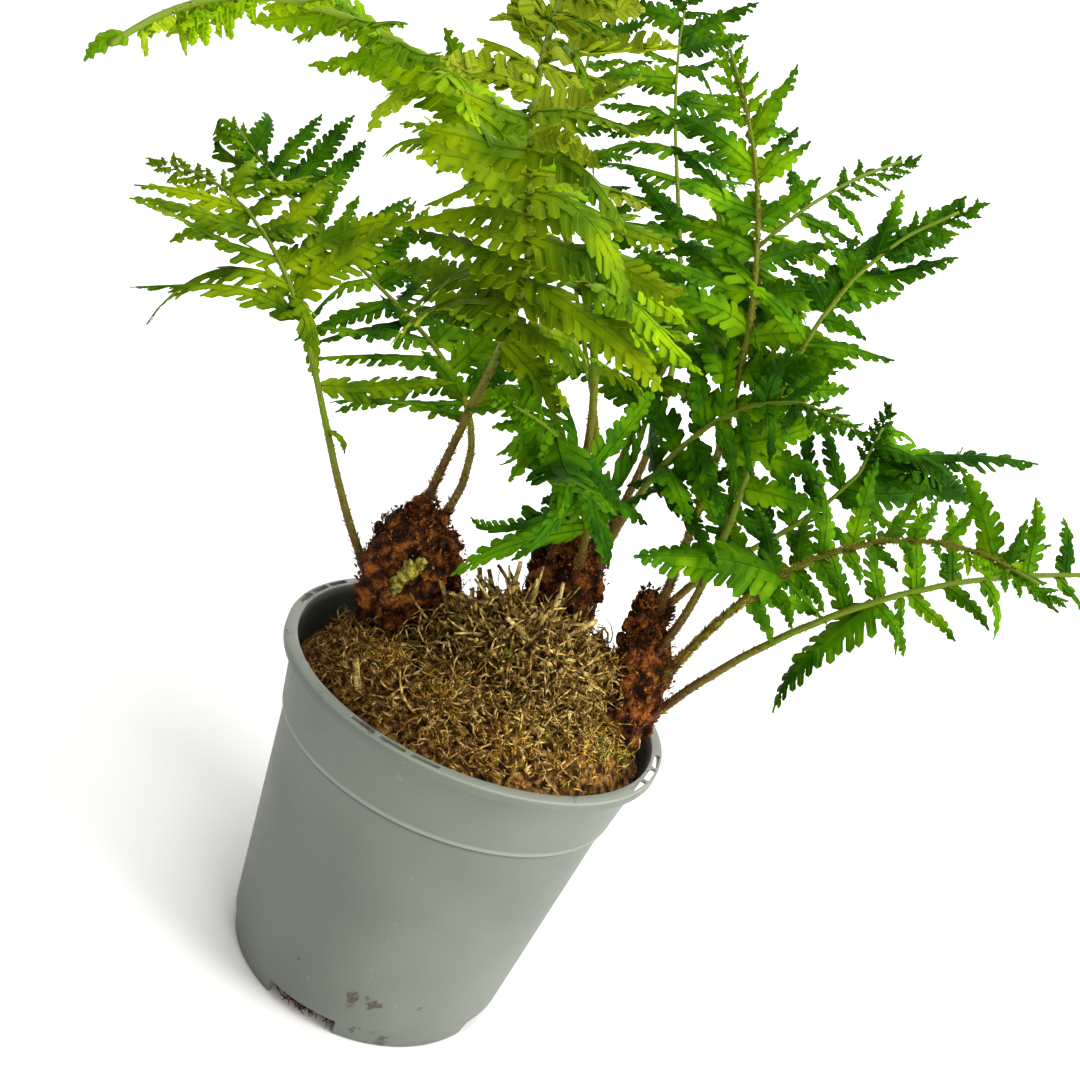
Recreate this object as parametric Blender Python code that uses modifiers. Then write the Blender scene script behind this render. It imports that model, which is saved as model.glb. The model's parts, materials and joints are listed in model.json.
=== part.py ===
"""Soft shield fern in its nursery pot, at its real size, +Z up.

The origin is the middle of the flat pad under the pot. Lengths are written in
millimetres and angles in degrees; MM turns lengths to Blender's metres. A turn
is a compass angle in the ground plane, from +X towards +Y, and a lean is the
angle of a stem from upright.
"""

import math
import random
from collections import namedtuple

import bmesh
import bpy
from mathutils import Matrix, Vector
from mathutils.bvhtree import BVHTree

MM = 0.001
UP = Vector((0, 0, 1))
CLEARANCE = 0.35

# Pot: moulded polypropylene, 17 cm across its rim
POT_HEIGHT = 148.0
RIM_RADIUS = 85.0
RIM_INNER_RADIUS = 80.2
FLANGE = 1.1
LIP_DEPTH = 4.5
COLLAR_DEPTH = 33.0
COLLAR_RADIUS = 76.3
COLLAR_STEP = 1.4
WALL = 1.4
FOOT_HEIGHT = 10.0
FOOT_TOP_RADIUS = 64.0
FOOT_INSET = 0.8
BASE_RADIUS = 61.2
FOOT_RING = 2.0
FLOOR = 1.6
PAD_RADIUS = 39.5
CHANNEL_HEIGHT = 4.0
CHANNEL_INNER_RADIUS = 43.0
POT_SIDES = 36

# Rim slots and foot notches come in four groups, a quarter turn apart
QUARTER_TURNS = (76, 166, 256, 346)
SLOT_PITCH = 9.6
SLOT_LENGTH = 12.2
SLOT_WIDTH = 2.3
SLOT_DEPTH = 2.0
SLOT_RADIUS = 82.7
NOTCH_LENGTH = 33.0
NOTCH_HEIGHT = 7.5
NOTCH_DEPTH = 14.0
NOTCH_RADIUS = 63.2
NOTCH_CORNER = 3.0

# Compost: a root ball that stands above the rim in the middle and is lower at its edge
SOIL_LEVEL = 134.0
SOIL_SLOPE_X = 0.06
SOIL_SLOPE_Y = -0.05
SOIL_MOUND = 24.0
SOIL_GAP = 0.5
SOIL_SIDES = 28
SOIL_RINGS = (20, 40, 54, 64, 71)

# Dead stipes: a dome of old stubs between the crowns
DOME_X = 11.0
DOME_Y = -6.0
DOME_RADIUS_X = 35.0
DOME_RADIUS_Y = 22.0
DOME_BASE = 158.5
DOME_HEIGHT = 31.0
STUB_COUNT = 30
STUB_RADIUS = 1.7
STUB_LENGTH = 17.0
SOCKET_DEPTH = 12.0

# Crowns: a spine of (x, y, z, radius) each, plain and straight where it stands in the compost
Crown = namedtuple("Crown", "name spine")
CROWNS = (
    Crown("crown_left", ((-45, 12, 124, 17), (-45, 12, 156.5, 17), (-45, 12, 158.5, 20.5), (-45, 12, 170, 22.5),
                         (-45, 12, 184, 21.5), (-47, 12, 194, 16), (-49, 12, 201, 8.5), (-50, 12, 208, 4))),
    Crown("crown_middle", ((20, 36, 130, 14), (20, 36, 157.6, 14), (20, 36, 159.5, 15.5), (19, 35, 175, 16.5),
                           (18, 33, 191, 17), (17, 33, 202, 16), (13, 33, 211, 11), (10, 34, 218, 4))),
    Crown("crown_right", ((63, 0, 131, 11), (63, 0, 157, 11), (63.5, 2, 159, 12.5), (63.5, 4, 173, 13.5),
                          (60, 8, 187, 12), (55.5, 10, 201, 8), (52, 12, 211, 3.5))),
)
CROWN_SIDES = 14
SCALE_RELIEF = 0.09
OLD_BASES = 6
OLD_BASE_RADIUS = 2.2
OLD_BASE_REACH = 5.0
CROWN_ROOM = 8.0
BUD_PLACE = (-44, -9, 183)
BUD_SIZE = (4.5, 4.0, 7.0)

# Fronds. start: where the stipe leaves its crown. turn, lean: at the foot, the
# middle and the tip. face: turn and height of the side that the blade shows up.
# twist: how far each leaflet turns its upper side to the tip. blade: share of
# the length below the lowest leaflets. leaflet: the longest one. finish: its green.
Frond = namedtuple("Frond", "name crown start turn lean length face twist blade pairs leaflet finish")
FRONDS = (
    Frond("frond_left", "crown_left", (-64, 6, 172), (181, 155, 172), (42, 44, 101), 205,
          (270, 35), 15, 0.53, 5, 80, "olive"),
    Frond("frond_upper_left", "crown_left", (-42, 22, 198), (80, 148, 193), (54, 75, 52), 280,
          (280, 50), 15, 0.30, 10, 68, "dark"),
    Frond("frond_top", "crown_left", (-50, 12, 206), (293, 270, 279), (5, 65, 57), 355,
          (105, 60), 45, 0.27, 11, 74, "olive"),
    Frond("frond_centre_low", "crown_middle", (20, 18, 204), (250, 236, 225), (13, 51, 77), 115,
          (260, 50), 10, 0.20, 5, 66, "mid"),
    Frond("frond_centre_right", "crown_middle", (27, 26, 204), (323, 313, 313), (3, 32, 95), 155,
          (250, 50), 15, 0.26, 7, 70, "mid"),
    Frond("frond_hairy", "crown_right", (69, 0, 174), (341, 332, 326), (13, 38, 99), 180,
          (250, 50), 20, 0.34, 8, 56, "mid"),
    Frond("frond_lowest", "crown_right", (73, -4, 166), (356, 360, 355), (25, 55, 96), 270,
          (265, 45), 15, 0.34, 10, 52, "mid"),
    Frond("frond_right", "crown_right", (64, 1, 190), (18, 10, -1), (17, -4, 51), 215,
          (260, 25), 20, 0.32, 8, 62, "mid"),
    Frond("frond_mid_right", "crown_right", (58, 17, 198), (48, 13, -20), (32, 38, -12), 130,
          (270, 45), 15, 0.36, 5, 80, "mid"),
    Frond("frond_scaly", "crown_right", (58, 8, 204), (349, 347, 339), (-3, -14, -47), 230,
          (270, 10), 25, 0.28, 9, 62, "mid"),
    Frond("frond_upper_right", "crown_middle", (26, 33, 209), (19, 30, 30), (-15, 14, 57), 220,
          (250, 30), 20, 0.32, 8, 60, "mid"),
    Frond("frond_near", "crown_middle", (8, 22, 203), (269, 238, 276), (16, 63, 114), 395,
          (60, 60), 40, 0.28, 12, 68, "lime"),
    Frond("frond_back_tall", "crown_middle", (25, 44, 205), (72, 114, 103), (35, 52, 29), 390,
          (275, 20), 20, 0.34, 10, 78, "dark"),
    Frond("frond_back_thin", "crown_middle", (14, 42, 206), (80, 125, 103), (73, 51, 3), 390,
          (270, 20), 20, 0.36, 10, 72, "dark"),
)
STIPE_DEPTH = 12.0
STIPE_RADIUS = 1.8
RACHIS_TIP_RADIUS = 0.7
STEM_STEP = 24.0
HOLE_REACH = 60.0

# Leaflets: cut into teeth on both sides of the rib
SHORT_LEAFLET_TEETH = 2
LONG_LEAFLET_TEETH = 3
LONG_LEAFLET_FROM = 40.0
TOOTH_REACH = 0.5
NOTCH_SHARE = 0.72
LEAFLET_WIDTH = 0.31
LEAFLET_THICKNESS = 1.3
LEAFLET_ARCH = 0.2
LEAFLET_DROOP = 0.16
SWEEP_AT_BASE = 10.0
SWEEP_AT_TIP = 36.0
SWEEP_SPREAD = 6.0
LIFT_SPREAD = 9.0
TWIST_SPREAD = 8.0
SIZE_SPREAD = 0.07
SHORTEST_LEAFLET = 18.0
LIFTS = (0, 10, -10, 20, -20, 32, -32, 46, -46)
TRIMS = (1.0, 0.85, 0.7, 0.55)
MARGIN = 1.2

# The end of each frond: one toothed blade, from this share of the length
END_BLADE = 0.86
END_BLADE_REACH = 12.0
END_BLADE_WIDTH = 0.5
END_BLADE_DROOP = 0.05
END_TEETH = 5
END_NOTCH = 0.45

# A small curled leaflet hangs from the stipe of frond_left
CURLED = (0.29, (0.9, -0.25, 0.1), 20.0, 8.0, 0.6)

# Materials: name, sRGB colour, roughness
FINISHES = {
    "pot": ("moulded_polypropylene", "8D968C", 0.5),
    "soil": ("peat_compost", "4A3522", 0.95),
    "crown": ("rust_brown_scales", "6B3F22", 0.9),
    "stubs": ("dry_straw_stubs", "9A8355", 0.9),
    "olive": ("olive_green_leaf", "738F1A", 0.55),
    "dark": ("dark_green_leaf", "336B08", 0.55),
    "mid": ("mid_green_leaf", "4F8A0A", 0.55),
    "lime": ("lime_green_leaf", "99BD1F", 0.55),
}


def clear_scene():
    for obj in list(bpy.data.objects):
        bpy.data.objects.remove(obj, do_unlink=True)


def new_collection(name, hidden=False):
    collection = bpy.data.collections.new(name)
    bpy.context.scene.collection.children.link(collection)
    collection.hide_render = hidden
    return collection


def linear(hex_colour):
    """Linear RGBA of an sRGB hex colour."""
    channels = [int(hex_colour[i:i + 2], 16) / 255 for i in (0, 2, 4)]
    return [c / 12.92 if c <= 0.04045 else ((c + 0.055) / 1.055) ** 2.4 for c in channels] + [1.0]


def material(kind):
    name, colour, roughness = FINISHES[kind]
    found = bpy.data.materials.get(name)
    if found:
        return found
    made = bpy.data.materials.new(name)
    made.use_nodes = True
    shader = made.node_tree.nodes["Principled BSDF"]
    shader.inputs["Base Color"].default_value = linear(colour)
    shader.inputs["Roughness"].default_value = roughness
    shader.inputs["Metallic"].default_value = 0.0
    made.diffuse_color = linear(colour)
    return made


def mesh_object(name, bm, collection, kind=None):
    """Links what a bmesh holds, drawn in millimetres, as an object in metres."""
    bmesh.ops.scale(bm, vec=(MM, MM, MM), verts=bm.verts)
    mesh = bpy.data.meshes.new(name)
    bm.to_mesh(mesh)
    bm.free()
    obj = bpy.data.objects.new(name, mesh)
    collection.objects.link(obj)
    if kind:
        mesh.materials.append(material(kind))
    return obj


def hide_cutter(obj):
    obj.hide_render = True
    obj.display_type = "WIRE"


def boolean(obj, operation, collection):
    modifier = obj.modifiers.new("Boolean", "BOOLEAN")
    modifier.operation = operation
    modifier.solver = "EXACT"
    modifier.operand_type = "COLLECTION"
    modifier.collection = collection


def tube(name, points, radii, collection, resolution=0):
    """A tube through the points, made from a bevelled curve and then a closed mesh."""
    curve = bpy.data.curves.new(name, "CURVE")
    curve.dimensions = "3D"
    curve.bevel_depth = MM
    curve.bevel_resolution = resolution
    curve.use_fill_caps = True
    spline = curve.splines.new("POLY")
    spline.points.add(len(points) - 1)
    for knot, point, radius in zip(spline.points, points, radii):
        knot.co = (*(point * MM), 1)
        knot.radius = radius
    drawn = bpy.data.objects.new(name, curve)
    collection.objects.link(drawn)
    graph = bpy.context.evaluated_depsgraph_get()
    mesh = bpy.data.meshes.new_from_object(drawn.evaluated_get(graph))
    bpy.data.objects.remove(drawn, do_unlink=True)
    bm = bmesh.new()
    bm.from_mesh(mesh)
    bmesh.ops.remove_doubles(bm, verts=bm.verts, dist=0.001 * MM)
    bmesh.ops.recalc_face_normals(bm, faces=bm.faces)
    bm.to_mesh(mesh)
    bm.free()
    obj = bpy.data.objects.new(name, mesh)
    collection.objects.link(obj)
    return obj


# Pot


def pot_profile():
    """(radius, height) from the middle of the floor, up the inside, over the rim and down the outside."""
    step = POT_HEIGHT - COLLAR_DEPTH
    body = COLLAR_RADIUS - COLLAR_STEP
    raised = CHANNEL_HEIGHT + FLOOR
    lip = RIM_RADIUS - 1
    foot_inner = BASE_RADIUS - FOOT_RING
    return (
        (0, FLOOR), (PAD_RADIUS - WALL, FLOOR), (CHANNEL_INNER_RADIUS - 1, raised), (BASE_RADIUS - 0.2, raised),
        (body - WALL, step - WALL), (COLLAR_RADIUS - WALL, step),
        (RIM_INNER_RADIUS, POT_HEIGHT), (RIM_RADIUS, POT_HEIGHT), (RIM_RADIUS, POT_HEIGHT - LIP_DEPTH),
        (lip, POT_HEIGHT - LIP_DEPTH), (lip, POT_HEIGHT - FLANGE), (RIM_INNER_RADIUS + FLANGE, POT_HEIGHT - FLANGE),
        (COLLAR_RADIUS, step), (body, step - 1),
        (FOOT_TOP_RADIUS, FOOT_HEIGHT), (FOOT_TOP_RADIUS - FOOT_INSET, FOOT_HEIGHT - 0.4),
        (BASE_RADIUS, 0), (foot_inner, 0), (foot_inner, CHANNEL_HEIGHT),
        (CHANNEL_INNER_RADIUS, CHANNEL_HEIGHT), (PAD_RADIUS, 0), (0, 0),
    )


def pot_inner_radius(z):
    """Inside radius of the pot at a height above its floor."""
    rows = pot_profile()[3:7]
    for (r0, z0), (r1, z1) in zip(rows, rows[1:]):
        if z <= z1:
            return r0 + (r1 - r0) * (z - z0) / (z1 - z0)
    return RIM_INNER_RADIUS


def box_at(name, turn, radius, size, z, collection, corner=0):
    """A box of (radial, tangential, vertical) size whose middle lies at this turn, radius and height."""
    bm = bmesh.new()
    bmesh.ops.create_cube(bm, size=1)
    bmesh.ops.scale(bm, vec=size, verts=bm.verts)
    if corner:
        along = [e for e in bm.edges if abs(e.verts[0].co.x - e.verts[1].co.x) > size[0] / 2
                 and e.verts[0].co.z > 0]
        bmesh.ops.bevel(bm, geom=along, offset=corner, segments=2, affect="EDGES", profile=0.5)
    place = Matrix.Rotation(math.radians(turn), 4, "Z") @ Matrix.Translation((radius, 0, z))
    bmesh.ops.transform(bm, matrix=place, verts=bm.verts)
    hide_cutter(mesh_object(name, bm, collection))


def make_pot(parts, cutters):
    slot = (SLOT_WIDTH, SLOT_LENGTH, 2 * SLOT_DEPTH)
    notch = (NOTCH_DEPTH, NOTCH_LENGTH, 2 * NOTCH_HEIGHT)
    for turn in QUARTER_TURNS:
        for place in (-1, 0, 1):
            box_at("rim_slot", turn + place * SLOT_PITCH, SLOT_RADIUS, slot, POT_HEIGHT, cutters)
        box_at("foot_notch", turn, NOTCH_RADIUS, notch, 0, cutters, NOTCH_CORNER)
    mesh = bpy.data.meshes.new("pot")
    profile = pot_profile()
    mesh.from_pydata([(r * MM, 0, z * MM) for r, z in profile], [(i, i + 1) for i in range(len(profile) - 1)], [])
    mesh.materials.append(material("pot"))
    pot = bpy.data.objects.new("pot", mesh)
    parts.objects.link(pot)
    screw = pot.modifiers.new("Screw", "SCREW")
    screw.axis = "Z"
    screw.steps = POT_SIDES
    screw.render_steps = POT_SIDES
    screw.use_merge_vertices = True
    screw.merge_threshold = 0.0001
    boolean(pot, "DIFFERENCE", cutters)


# Compost and crowns


def soil_top(x, y):
    edge_share = math.hypot(x, y) / COLLAR_RADIUS
    return SOIL_LEVEL + SOIL_SLOPE_X * x + SOIL_SLOPE_Y * y + SOIL_MOUND * max(0, 1 - edge_share ** 4)


def make_soil(parts, sockets):
    """The compost fills the pot and has a plain socket for each crown and for the dead stipes."""
    step = POT_HEIGHT - COLLAR_DEPTH
    floor = CHANNEL_HEIGHT + FLOOR + SOIL_GAP
    edge = SOIL_LEVEL
    wall = [(pot_inner_radius(z) - SOIL_GAP, z) for z in (edge, step + 1, step - 2, floor)]
    base = [(CHANNEL_INNER_RADIUS - 1, floor), (PAD_RADIUS - 2, floor - CHANNEL_HEIGHT), (0, floor - CHANNEL_HEIGHT)]
    profile = [(0, edge)] + [(r, edge) for r in SOIL_RINGS] + wall + base
    bm = bmesh.new()
    line = [bm.verts.new((r, 0, z)) for r, z in profile]
    edges = [bm.edges.new(pair) for pair in zip(line, line[1:])]
    bmesh.ops.spin(bm, geom=line + edges, cent=(0, 0, 0), axis=UP, angle=2 * math.pi, steps=SOIL_SIDES,
                   use_merge=True)
    bmesh.ops.remove_doubles(bm, verts=bm.verts, dist=0.01)
    for vert in bm.verts:
        if abs(vert.co.z - edge) < 0.01:
            vert.co.z = soil_top(vert.co.x, vert.co.y)
            reach = math.hypot(vert.co.x, vert.co.y)
            if reach > SOIL_RINGS[-1] + 1:
                fit = (pot_inner_radius(vert.co.z) - SOIL_GAP) / reach
                vert.co.xy *= fit
    bmesh.ops.recalc_face_normals(bm, faces=bm.faces)
    soil = mesh_object("soil", bm, parts, "soil")
    boolean(soil, "DIFFERENCE", sockets)


def ring(bm, centre, radius_x, radius_y, sides, relief=0, draw=None):
    """A closed loop of edges round a centre, its points pushed in and out by the relief."""
    verts = []
    for i in range(sides):
        angle = 2 * math.pi * i / sides
        push = 1 + (draw.uniform(-relief, relief) if draw else 0)
        verts.append(bm.verts.new((centre[0] + radius_x * push * math.cos(angle),
                                   centre[1] + radius_y * push * math.sin(angle), centre[2])))
    return verts


def loft(bm, rings):
    """Joins the rings, lowest first, and closes both ends."""
    for low, high in zip(rings, rings[1:]):
        for i in range(len(low)):
            j = (i + 1) % len(low)
            bm.faces.new((low[i], low[j], high[j], high[i]))
    bm.faces.new(list(reversed(rings[0])))
    bm.faces.new(rings[-1])
    bmesh.ops.recalc_face_normals(bm, faces=bm.faces)


def socket(name, centre, radius_x, radius_y, bottom, sockets):
    """A cutter that leaves a gap round and under a plug with as many sides."""
    bm = bmesh.new()
    grow = CLEARANCE / math.cos(math.pi / CROWN_SIDES)
    rings = [ring(bm, (*centre, z), radius_x + grow, radius_y + grow, CROWN_SIDES)
             for z in (bottom - CLEARANCE, POT_HEIGHT + 20)]
    loft(bm, rings)
    hide_cutter(mesh_object(name, bm, sockets))


def near_crown(point, room):
    """True within some room of a crown's bulk."""
    return any((point - Vector((x, y, z))).length < radius * (1 + SCALE_RELIEF) + room
               for crown in CROWNS for x, y, z, radius in crown.spine)


def make_old_bases(crown, stems, union):
    """Short ends of old stipes, pointing up and out, away from the live stipes."""
    draw = random.Random(crown.name + " bases")
    levels = crown.spine[2:-2]
    for i in range(OLD_BASES):
        x, y, z, radius = levels[i % len(levels)]
        angle = math.radians(137.5 * i + draw.uniform(0, 40))
        out = Vector((math.cos(angle), math.sin(angle), 0))
        way = (out * 0.5 + UP).normalized()
        foot = Vector((x, y, z)) + out * radius * 0.72
        tip = foot + way * (OLD_BASE_REACH + 0.28 * radius)
        if any((tip - point).length < 4 * OLD_BASE_RADIUS for line in stems for point in line):
            continue
        tube("old_base", [foot, tip], [OLD_BASE_RADIUS, OLD_BASE_RADIUS * 0.7], union)


def make_bud(union):
    """A young frond, still rolled up, on the front of the left crown."""
    bm = bmesh.new()
    bmesh.ops.create_icosphere(bm, subdivisions=1, radius=1)
    bmesh.ops.scale(bm, vec=BUD_SIZE, verts=bm.verts)
    bmesh.ops.translate(bm, vec=BUD_PLACE, verts=bm.verts)
    mesh_object("bud", bm, union)


def make_crown(crown, parts, sockets, holes, union):
    """A rootstock covered in scales and old stipe bases, with a hole for each live stipe."""
    draw = random.Random(crown.name)
    bm = bmesh.new()
    rings = []
    for i, (x, y, z, radius) in enumerate(crown.spine):
        relief = 0 if i < 2 else SCALE_RELIEF
        rings.append(ring(bm, (x, y, z), radius, radius, CROWN_SIDES, relief, draw))
    loft(bm, rings)
    x, y, bottom, radius = crown.spine[0]
    socket(crown.name + "_socket", (x, y), radius, radius, bottom, sockets)
    obj = mesh_object(crown.name, bm, parts, "crown")
    make_old_bases(crown, [stem_line(frond) for frond in FRONDS], union)
    if crown.name == "crown_left":
        make_bud(union)
    fuse(obj, union)
    boolean(obj, "DIFFERENCE", holes)


def stub_places():
    """(foot, direction, length, radius) of each dead stub, on the dome and clear of the crowns."""
    draw = random.Random("stubs")
    places = []
    for i in range(STUB_COUNT):
        spread = math.sqrt((i + 0.5) / STUB_COUNT) * 0.92
        angle = math.radians(137.5 * i)
        x = spread * math.cos(angle)
        y = spread * math.sin(angle)
        rise = math.sqrt(1 - spread ** 2)
        foot = Vector((DOME_X + DOME_RADIUS_X * x, DOME_Y + DOME_RADIUS_Y * y, DOME_BASE + DOME_HEIGHT * rise))
        way = Vector((0.45 * x + draw.uniform(-0.4, 0.4), 0.45 * y + draw.uniform(-0.4, 0.4), 1)).normalized()
        length = STUB_LENGTH * draw.uniform(0.6, 1.1)
        tip = foot + way * length
        if not near_crown(tip, CROWN_ROOM) and not near_crown(foot.lerp(tip, 0.5), CROWN_ROOM):
            places.append((foot - way * 5, tip, STUB_RADIUS * draw.uniform(0.8, 1.25)))
    return places


def make_stubs(parts, sockets, union):
    draw = random.Random("dome")
    bottom = DOME_BASE - SOCKET_DEPTH
    bm = bmesh.new()
    rings = [ring(bm, (DOME_X, DOME_Y, z), DOME_RADIUS_X, DOME_RADIUS_Y, CROWN_SIDES)
             for z in (bottom, DOME_BASE)]
    for level in (0.45, 0.8, 0.97):
        size = math.sqrt(1 - level ** 2)
        rings.append(ring(bm, (DOME_X, DOME_Y, DOME_BASE + DOME_HEIGHT * level), DOME_RADIUS_X * size,
                          DOME_RADIUS_Y * size, CROWN_SIDES, SCALE_RELIEF / 2, draw))
    loft(bm, rings)
    socket("stubs_socket", (DOME_X, DOME_Y), DOME_RADIUS_X, DOME_RADIUS_Y, bottom, sockets)
    dome = mesh_object("dead_stipes", bm, parts, "stubs")
    for foot, tip, radius in stub_places():
        tube("stub", [foot, tip], [radius, radius * 0.8], union)
    fuse(dome, union)


def fuse(obj, union):
    """Joins the objects of a collection to this one in one Boolean union, and removes them."""
    boolean(obj, "UNION", union)
    graph = bpy.context.evaluated_depsgraph_get()
    joined = bpy.data.meshes.new_from_object(obj.evaluated_get(graph))
    obj.modifiers.clear()
    obj.data = joined
    for extra in list(union.objects):
        bpy.data.objects.remove(extra, do_unlink=True)


# Fronds


def through(values, share):
    """Value at a share of the length, on the parabola through its three values."""
    foot, middle, tip = values
    s = share
    return foot * (2 * s - 1) * (s - 1) + middle * 4 * s * (1 - s) + tip * s * (2 * s - 1)


def heading(frond, share):
    turn = math.radians(through(frond.turn, share))
    lean = math.radians(through(frond.lean, share))
    return Vector((math.sin(lean) * math.cos(turn), math.sin(lean) * math.sin(turn), math.cos(lean)))


def stem_line(frond):
    """Points of the rachis, in even steps from where it leaves the crown to its tip."""
    steps = round(frond.length / STEM_STEP) + 1
    line = [Vector(frond.start)]
    for i in range(steps):
        line.append(line[-1] + heading(frond, (i + 0.5) / steps) * (frond.length / steps))
    return line


def on_line(line, share):
    """Point at a share of the way along a line of even steps."""
    place = share * (len(line) - 1)
    i = min(int(place), len(line) - 2)
    return line[i].lerp(line[i + 1], place - i)


def stem_radius(share):
    return STIPE_RADIUS + (RACHIS_TIP_RADIUS - STIPE_RADIUS) * share


def toothed(teeth, notch_share):
    """Outline of a blade, as shares of its length and half width: a tooth, then a notch, until its apex."""
    outline = [(0, 0)]
    for k in range(teeth):
        tooth = (k + TOOTH_REACH) / teeth
        notch = (k + 1) / teeth
        outline.append((tooth, min(1, 0.8 + tooth) * (1 - tooth) ** 0.6))
        outline.append((notch, notch_share * (1 - notch) ** 0.6))
    return tuple(outline)


Leaflet = namedtuple("Leaflet", "root along face length width droop outline")


def blade(leaflet, margin=0.0):
    """Points and triangles of an arched blade, split alike above and below.

    Its teeth and notches lie on the edge that both sides share. The rib has a
    vertex above and below at each notch, and is thickest at the root.
    """
    root, along, face, length, width, droop, outline = leaflet
    side = face.cross(along).normalized()
    last = len(outline) - 1
    points = []

    def put(share, offset, raised):
        tangent = (along - UP * 2 * droop * share).normalized()
        middle = root + along * ((length + margin) * share) - UP * (droop * length * share ** 2)
        points.append(middle + side * offset + tangent.cross(side) * (raised - LEAFLET_ARCH * abs(offset)))
        return len(points) - 1

    apex = put(1, 0, 0)
    rib = {last: (apex, apex)}
    for i in range(0, last, 2):
        half = LEAFLET_THICKNESS / 2 * (1 - 0.5 * outline[i][0]) + margin
        rib[i] = (put(outline[i][0], 0, half), put(outline[i][0], 0, -half))
    triangles = []
    for way in (1, -1):
        edge = {i: put(outline[i][0], way * (width / 2 * outline[i][1] + margin), 0) for i in range(1, last)}
        for i in range(0, last, 2):
            between = [edge[j] for j in range(max(i, 1), min(i + 2, last - 1) + 1)]
            for layer in (0, 1):
                hub, fan = rib[i + 2][layer], [rib[i][layer]] + between
                if hub == apex:
                    hub, fan = rib[i][layer], between + [apex]
                triangles += [(hub, a, b) for a, b in zip(fan, fan[1:])]
        triangles.append((*rib[0], edge[1]))
    return points, triangles


def stem_tree(frond):
    """Search tree of a rachis, as a three-sided tube with some room round it."""
    line = stem_line(frond)
    steps = len(line) - 1
    verts = []
    for i, point in enumerate(line):
        share = i / steps
        side = heading(frond, share).orthogonal().normalized()
        for turn in (0, 120, 240):
            spoke = Matrix.Rotation(math.radians(turn), 3, heading(frond, share)) @ side
            verts.append(point + spoke * (2 * stem_radius(share) + MARGIN))
    faces = [(3 * i + a, 3 * i + (a + 1) % 3, 3 * i + 3 + (a + 1) % 3, 3 * i + 3 + a)
             for i in range(steps) for a in range(3)]
    return BVHTree.FromPolygons(verts, faces)


def clear_of_base(points):
    """True where a blade keeps away from the pot, the crowns and the dead stipes."""
    for point in points:
        if point.z < POT_HEIGHT + 16 and math.hypot(point.x, point.y) < RIM_RADIUS + 4:
            return False
        dome = Vector(((point.x - DOME_X) / (DOME_RADIUS_X + 8), (point.y - DOME_Y) / (DOME_RADIUS_Y + 8),
                       (point.z - DOME_BASE) / (DOME_HEIGHT + STUB_LENGTH)))
        if dome.length < 1 or near_crown(point, CROWN_ROOM):
            return False
    return True


def turned(from_way, to_way, angle):
    """A unit direction, turned by an angle towards another at right angles to it."""
    return (from_way * math.cos(math.radians(angle)) + to_way * math.sin(math.radians(angle))).normalized()


def leaflet_width(length):
    return length * LEAFLET_WIDTH + 2


def leaflet_at(frond, line, share, side, draw):
    """A leaflet before it is bent clear: its root on the rachis and its way out from it."""
    up_blade = (share - frond.blade) / (1 - frond.blade)
    way = heading(frond, share)
    turn, height = (math.radians(a) for a in frond.face)
    shown = Vector((math.cos(height) * math.cos(turn), math.cos(height) * math.sin(turn), math.sin(height)))
    out = way.cross(shown).normalized() * side
    face = out.cross(way).normalized() * side
    sweep = SWEEP_AT_BASE + (SWEEP_AT_TIP - SWEEP_AT_BASE) * up_blade + draw.uniform(-1, 1) * SWEEP_SPREAD
    lift = draw.uniform(-1, 1) * LIFT_SPREAD
    along = turned(turned(out, way, sweep), face, lift)
    face = turned(face, way, frond.twist + draw.uniform(-1, 1) * TWIST_SPREAD)
    face = (face - along * face.dot(along)).normalized()
    size = min(1.0, 0.8 + 1.5 * up_blade) * (1 - up_blade) ** 0.7 * (1 + draw.uniform(-1, 1) * SIZE_SPREAD)
    length = max(SHORTEST_LEAFLET, frond.leaflet * size)
    teeth = LONG_LEAFLET_TEETH if length > LONG_LEAFLET_FROM else SHORT_LEAFLET_TEETH
    root = on_line(line, share) - along * (0.4 * stem_radius(share))
    return Leaflet(root, along, face, length, leaflet_width(length), LEAFLET_DROOP * draw.uniform(0.6, 1.5),
                   toothed(teeth, NOTCH_SHARE))


def bent_clear(leaflet, others, own):
    """The leaflet lifted or trimmed until it crosses nothing, or None."""
    hinge = leaflet.face.cross(leaflet.along).normalized()
    for trim in TRIMS:
        length = leaflet.length * trim
        if length < SHORTEST_LEAFLET * 0.8:
            continue
        for lift in LIFTS:
            bend = Matrix.Rotation(-math.radians(lift), 3, hinge)
            bent = leaflet._replace(along=bend @ leaflet.along, face=bend @ leaflet.face, length=length,
                                    width=leaflet_width(length))
            points, triangles = blade(bent, MARGIN)
            if not clear_of_base(points):
                continue
            tree = BVHTree.FromPolygons(points, triangles)
            if not any(tree.overlap(other) for other in others + own[:-1]):
                return bent
    return None


def end_blade(frond, line, face):
    """The toothed blade that ends a frond."""
    tip = heading(frond, (1 + END_BLADE) / 2)
    length = frond.length * (1 - END_BLADE) + END_BLADE_REACH
    return Leaflet(on_line(line, END_BLADE), tip, (face - tip * face.dot(tip)).normalized(), length,
                   length * END_BLADE_WIDTH, END_BLADE_DROOP, toothed(END_TEETH, END_NOTCH))


def curled_leaflet(frond, line):
    share, along, length, width, droop = CURLED
    along = Vector(along).normalized()
    face = (UP - along * along.z).normalized()
    return Leaflet(on_line(line, share) - along * 0.7, along, face, length, width, droop,
                   toothed(SHORT_LEAFLET_TEETH, NOTCH_SHARE))


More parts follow.
